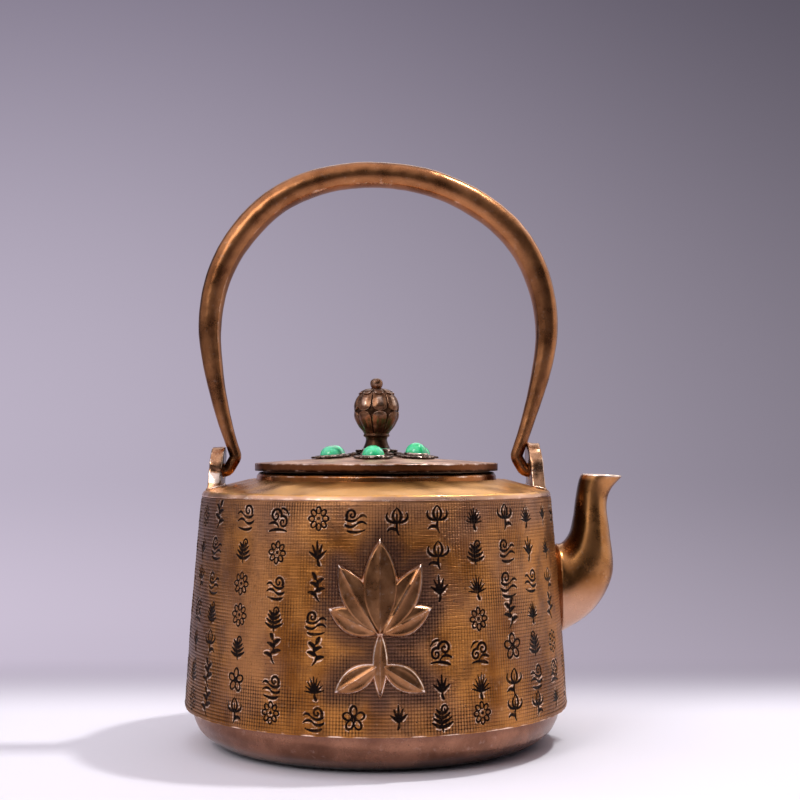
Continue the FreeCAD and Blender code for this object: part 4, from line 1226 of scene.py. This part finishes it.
# %% Filigree
lid_edge_level, lid_edge_radius, lid_rise = 104.9, 46.5, 3.1


def lid_level(radius):
    """Height of the lid's cone at a distance from the axis."""
    return lid_edge_level + lid_rise / lid_edge_radius * (lid_edge_radius - radius)


def wire_loop(middle, turn, reach, long_half, short_half, wire, lift, pinch, points):
    """A closed wire in the shape of a petal, at that reach from the flower's middle: an ellipse pinched
    towards its root, laid on the cone. The ring round the wire is spanned by the outward direction and
    up."""
    t = full_turn(points)
    centre = middle[0] + reach * math.cos(turn), middle[1] + reach * math.sin(turn)
    x, y = rotated(long_half * np.cos(t), short_half * np.sin(t) * (1 + pinch * np.cos(t)), turn, centre)
    spine = np.stack([x, y, lid_level(np.hypot(x, y)) + lift], axis=-1)
    ahead = np.roll(spine, -1, axis=0) - np.roll(spine, 1, axis=0)
    ahead /= np.linalg.norm(ahead, axis=1, keepdims=True)
    up = np.array([0, 0, 1.0])
    ring = full_turn(8)
    grid = spine[:, None] + wire * (np.cross(ahead, up)[:, None] * np.cos(ring)[:, None]
                                    + up * np.sin(ring)[:, None])
    return woven(grid, along=True, wear=np.clip(np.sin(ring), 0, 1) * 0.62)


def flower(middle, first, petals, loops, pinch, points):
    """Petals evenly round the middle, each of several loops, half a pitch past the first angle."""
    return [wire_loop(middle, first + 2 * math.pi * (petal + 0.5) / petals, *loop, pinch, points)
            for petal in range(petals) for loop in loops]


# %% Rosette under the knob
# Reach, half length, half width, thickness of the wire, height over the lid
rosette_loops = ((8.5, 2.9, 2.25, 0.50, 0.85), (8.3, 1.6, 1.05, 0.36, 1.25), (6.9, 1.3, 1.1, 0.42, 2.05))
hub = turned([(2.0, 107.95, 0.1, 0), (6.3, 107.75, 0.2, 0.1), (6.4, 109.6, 0.5, 0.8), (5.4, 110.38, 0.4, 0.3),
              (2.0, 110.38, 0.1, 0)], columns=72, spacing=0.7)
rosette = make_piece("pierced_rosette", [hub] + flower((0, 0), 0, 8, rosette_loops, 0.35, 30),
                     finishes["blackened_filigree"], "lid", 50.0)
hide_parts("knob_rosette")

# %% [markdown]
# Six stones stand on a ring round the knob. Each setting has nine petals of two loops, a thin outer rim and
# a low bezel. The stones are cut by eye, so their domes differ a little.

# %% Places of the stones
gem_ring, first_turn = 18.8, math.radians(-95.0)
stone_radius = 4.15
setting_loops = ((6.05, 1.15, 1.25, 0.40, 0.62), (5.35, 0.5, 0.55, 0.28, 0.95))
# Height of the dome, lift of its seat, turn from an even spacing in degrees
stones = [(3.75, 0.0, 0.3), (4.0, 0.75, -4.0), (3.6, 0.1, 1.0), (3.8, 0.0, 0.0), (3.7, 0.1, 4.0),
          (3.6, 0.0, -2.0)]
lean_out = math.atan(lid_rise / lid_edge_radius)


def spun(outline, tone, columns, turn, closed=True):
    """A small outline carried round the origin, leaned with the lid's cone and moved to its place on the
    ring of stones."""
    outline = np.array(outline, float)
    grid = carried(outline[:, :1], full_turn(columns), outline[:, 1:])
    x, z = rotated(grid[..., 0], grid[..., 2], -lean_out)
    x, y = rotated(x + gem_ring, grid[..., 1], turn)
    grid = np.stack([x, y, z + lid_level(gem_ring) + 0.1], axis=-1)
    return woven(grid, along=closed, poles=(not closed, not closed), wear=np.array(tone, float)[:, None])


# %% Settings and stones
for k, (rise, seat, turn_by) in enumerate(stones):
    turn = first_turn + 2 * math.pi * k / len(stones) + math.radians(turn_by)
    middle = gem_ring * math.cos(turn), gem_ring * math.sin(turn)
    bezel = spun([(4.0, 0.2), (4.1, 1.05 + seat), (4.3, 1.2 + seat), (4.55, 1.05 + seat), (4.75, 0.6),
                  (5.1, 0.35), (5.1, 0.2)], [0, 0.3, 0.9, 0.7, 0.1, 0, 0], 54, turn)
    rim = spun([(6.05, 0.15), (6.05, 0.62), (6.3, 0.85), (6.55, 0.62), (6.55, 0.15)],
               [0, 0.2, 1.0, 0.4, 0], 54, turn)
    floor = spun([(0.5, 0.02), (0.5, 0.3), (5.3, 0.3), (5.3, 0.02)], [0, 0, 0, 0], 36, turn)
    setting = make_piece("filigree_%d" % (k + 1),
                         [bezel, rim, floor] + flower(middle, turn, 9, setting_loops, 0.2, 20),
                         finishes["blackened_filigree"], "lid", 50.0)
    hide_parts("gem_setting_%d" % (k + 1))
    girdle = 1.0 + seat
    dome = [(stone_radius * math.cos(a), girdle + rise * math.sin(a))
            for a in np.linspace(0, math.pi / 2, 22)[:-1]]
    outline = [(0.0, 0.4), (3.8, 0.4), (4.1, girdle - 0.4)] + dome + [(0.0, girdle + rise)]
    gem = make_piece("stone_%d" % (k + 1), [spun(outline, [0] * len(outline), 64, turn, closed=False)], stone,
                     "lid", 60.0)
    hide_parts("gem_%d" % (k + 1))

# %% [markdown]
# The solids that keep their own shape get finishes in their material slots: the inside of the wall, the
# flange under the lid, and the stud, washer and nut that hold the knob.

# %% Finishes of the solids that stay
for name in ("body_wall", "lid_flange", "knob_washer", "knob_nut", "knob_screw"):
    finish = finishes["turned_brass" if name.startswith("knob") else "tinned_inside"]
    nodes[name].data.materials.clear()
    nodes[name].data.materials.append(finish.material)
    print(name, finish.material.name)

# %% [markdown]
# The pot stands on a pale sheet that sweeps up behind it. Beyond the edges of the picture the sheet bends
# forward on the right.

# %% Floor and backdrop
floor_front, floor_back, sweep_radius, sheet_top = -1.6, 0.35, 0.60, 2.0
sheet_half_width, bend_start, bend_end, bend_forward = 1.9, 0.54, 1.15, 1.35
quarter = np.linspace(0, math.pi / 2, 24)[1:]
sweep_depth = np.concatenate([np.linspace(floor_front, floor_back, 30),
                              floor_back + sweep_radius * np.sin(quarter),
                              np.full(8, floor_back + sweep_radius)])
sweep_height = np.concatenate([np.zeros(30), sweep_radius * (1 - np.cos(quarter)),
                               np.linspace(sweep_radius + 0.04, sheet_top, 8)])
sweep_width = np.linspace(-sheet_half_width, sheet_half_width, 40)
sweep_bend = bend_forward * soft_step(sweep_width, bend_start, bend_end)
grid = np.stack(np.broadcast_arrays(sweep_width, sweep_depth[:, None] - sweep_bend,
                                    sweep_height[:, None] - 0.0002), axis=-1)
flat, fours, _, _ = woven(grid / MM, around=False)
sheet_mesh = bpy.data.meshes.new("paper_sweep")
sheet_mesh.from_pydata((flat * MM).tolist(), [], fours.tolist())
sheet_mesh.shade_smooth()
sheet = bpy.data.objects.new("paper_sweep", sheet_mesh)
bpy.context.scene.collection.objects.link(sheet)
print("sheet", len(fours), "faces")

# %% [markdown]
# The floor takes the lamps' light and the object's shadow. Its own colour is painted light as well: white
# round the pot and dark further off. The upright sheet glows, for the camera and for mirror rays, in a soft
# lilac grey with painted shade that darkens it higher up. Beyond the picture the glow is dark on the left,
# and pale on the right and above: painted light that the polished metal mirrors.

# %% Paper
paper = Finish("paper")
across, rise = paper.axis("X"), paper.axis("Z")
depth = paper.axis("Y") + paper.fade(across, bend_start, bend_end) * bend_forward
# The glow's colour: lilac grey with painted shade that darkens upwards, and pale above the picture.
low_grey = paper.mix(paper.fade(rise, -0.03, 0.095), (0.64, 0.565, 0.695), (0.50, 0.445, 0.555))
grey = paper.mix(paper.fade(rise, 0.07, 0.87), low_grey, (0.15, 0.13, 0.185))
grey = paper.mix(paper.fade(rise, 0.595, 0.76), grey, (0.92, 0.86, 0.86))
# Painted shade across the glow: darker to the right, and dark beyond the left edge of the picture.
shade = (1.03 - paper.fade(across, -0.445, 0.635) * 0.62) * (1.0 - paper.fade(-across, 0.47, 0.75) * 0.80)
shaded = paper.add("ShaderNodeVectorMath", {"operation": "SCALE"}, {0: grey, "Scale": shade})
# Beyond the right edge the sheet glows near white: painted light for the metal to mirror.
shaded = paper.mix(paper.fade(across, 0.50, 0.78) * paper.fade(rise, 1.1, 0.8), shaded, (1.0, 0.95, 0.97))
from_pot = (across * across + depth * depth) ** 0.5
# The floor's colour is painted light: bright round the pot, dark further off.
painted_light_pool = paper.mix(paper.fade(from_pot, 0.12, 0.70), (0.93, 0.90, 0.96), (0.26, 0.24, 0.28))
upright = paper.fade(depth + across * 0.04, 0.045, 0.22)
by_camera, by_mirror, by_glass = (paper.add("ShaderNodeLightPath", out="Is %s Ray" % kind)
                                  for kind in ("Camera", "Glossy", "Transmission"))
paper.set(Base_Color=paper.mix(upright, painted_light_pool, (0.20, 0.18, 0.22)), Roughness=0.75, Metallic=0.0)
glow = paper.add("ShaderNodeEmission", None, {"Color": shaded, "Strength": 1.0})
shown = paper.add("ShaderNodeMixShader", None, {0: by_camera.most(by_mirror).most(by_glass) * upright,
                                                1: Wire(paper, paper.shader.outputs[0]), 2: glow})
paper.feed(paper.tree.nodes["Material Output"].inputs["Surface"], shown)
sheet_mesh.materials.append(paper.material)
print("paper", len(paper.tree.nodes), "shader nodes")

# %% [markdown]
# The light is a studio's: one small lamp high on the right and a little behind, which draws the pot's
# shadow on the floor, a window on the left and in front, a long weak one behind on the right, and a pale
# ceiling that is brighter towards the left and fills the shadow.

# %% Light
world = bpy.data.worlds.new("room")
world.use_nodes = True
room = world.node_tree
sky = room.nodes.new("ShaderNodeTexCoord")
facing = room.nodes.new("ShaderNodeVectorMath")
facing.operation = "DOT_PRODUCT"
facing.inputs[1].default_value = (-0.42, -0.08, 0.90)
ramp = room.nodes.new("ShaderNodeValToRGB")
for element, (position, colour) in zip(ramp.color_ramp.elements, ((0.36, (0.07, 0.066, 0.073, 1.0)),
                                                                  (0.92, (1.24, 1.18, 1.29, 1.0)))):
    element.position, element.color = position, colour
room.links.new(sky.outputs["Generated"], facing.inputs[0])
room.links.new(facing.outputs["Value"], ramp.inputs[0])
room.links.new(ramp.outputs["Color"], room.nodes["Background"].inputs["Color"])
bpy.context.scene.world = world


def soft_window(name, place, aim_height, width, height, power):
    """An area light that looks at a point on the pot's axis."""
    lamp = bpy.data.lights.new(name, "AREA")
    lamp.shape, lamp.size, lamp.size_y, lamp.energy = "RECTANGLE", width, height, power
    window = bpy.data.objects.new(name, lamp)
    window.location = place
    step = np.array((0, 0, aim_height)) - np.array(place)
    run = math.hypot(step[0], step[1])
    window.rotation_euler = (math.atan2(run, -step[2]), 0.0, math.atan2(step[1], step[0]) - math.pi / 2)
    bpy.context.scene.collection.objects.link(window)
    print(name, power, "W")


soft_window("window_right", (0.487, 0.066, 1.20), 0.08, 0.08, 0.08, 7.2)
soft_window("window_left", (-0.46, -0.74, 0.64), 0.12, 0.32, 0.44, 2.35)
soft_window("window_back", (0.36, 0.60, 0.64), 0.09, 1.10, 0.26, 1.1)
bpy.context.scene.view_settings.view_transform = "Standard"
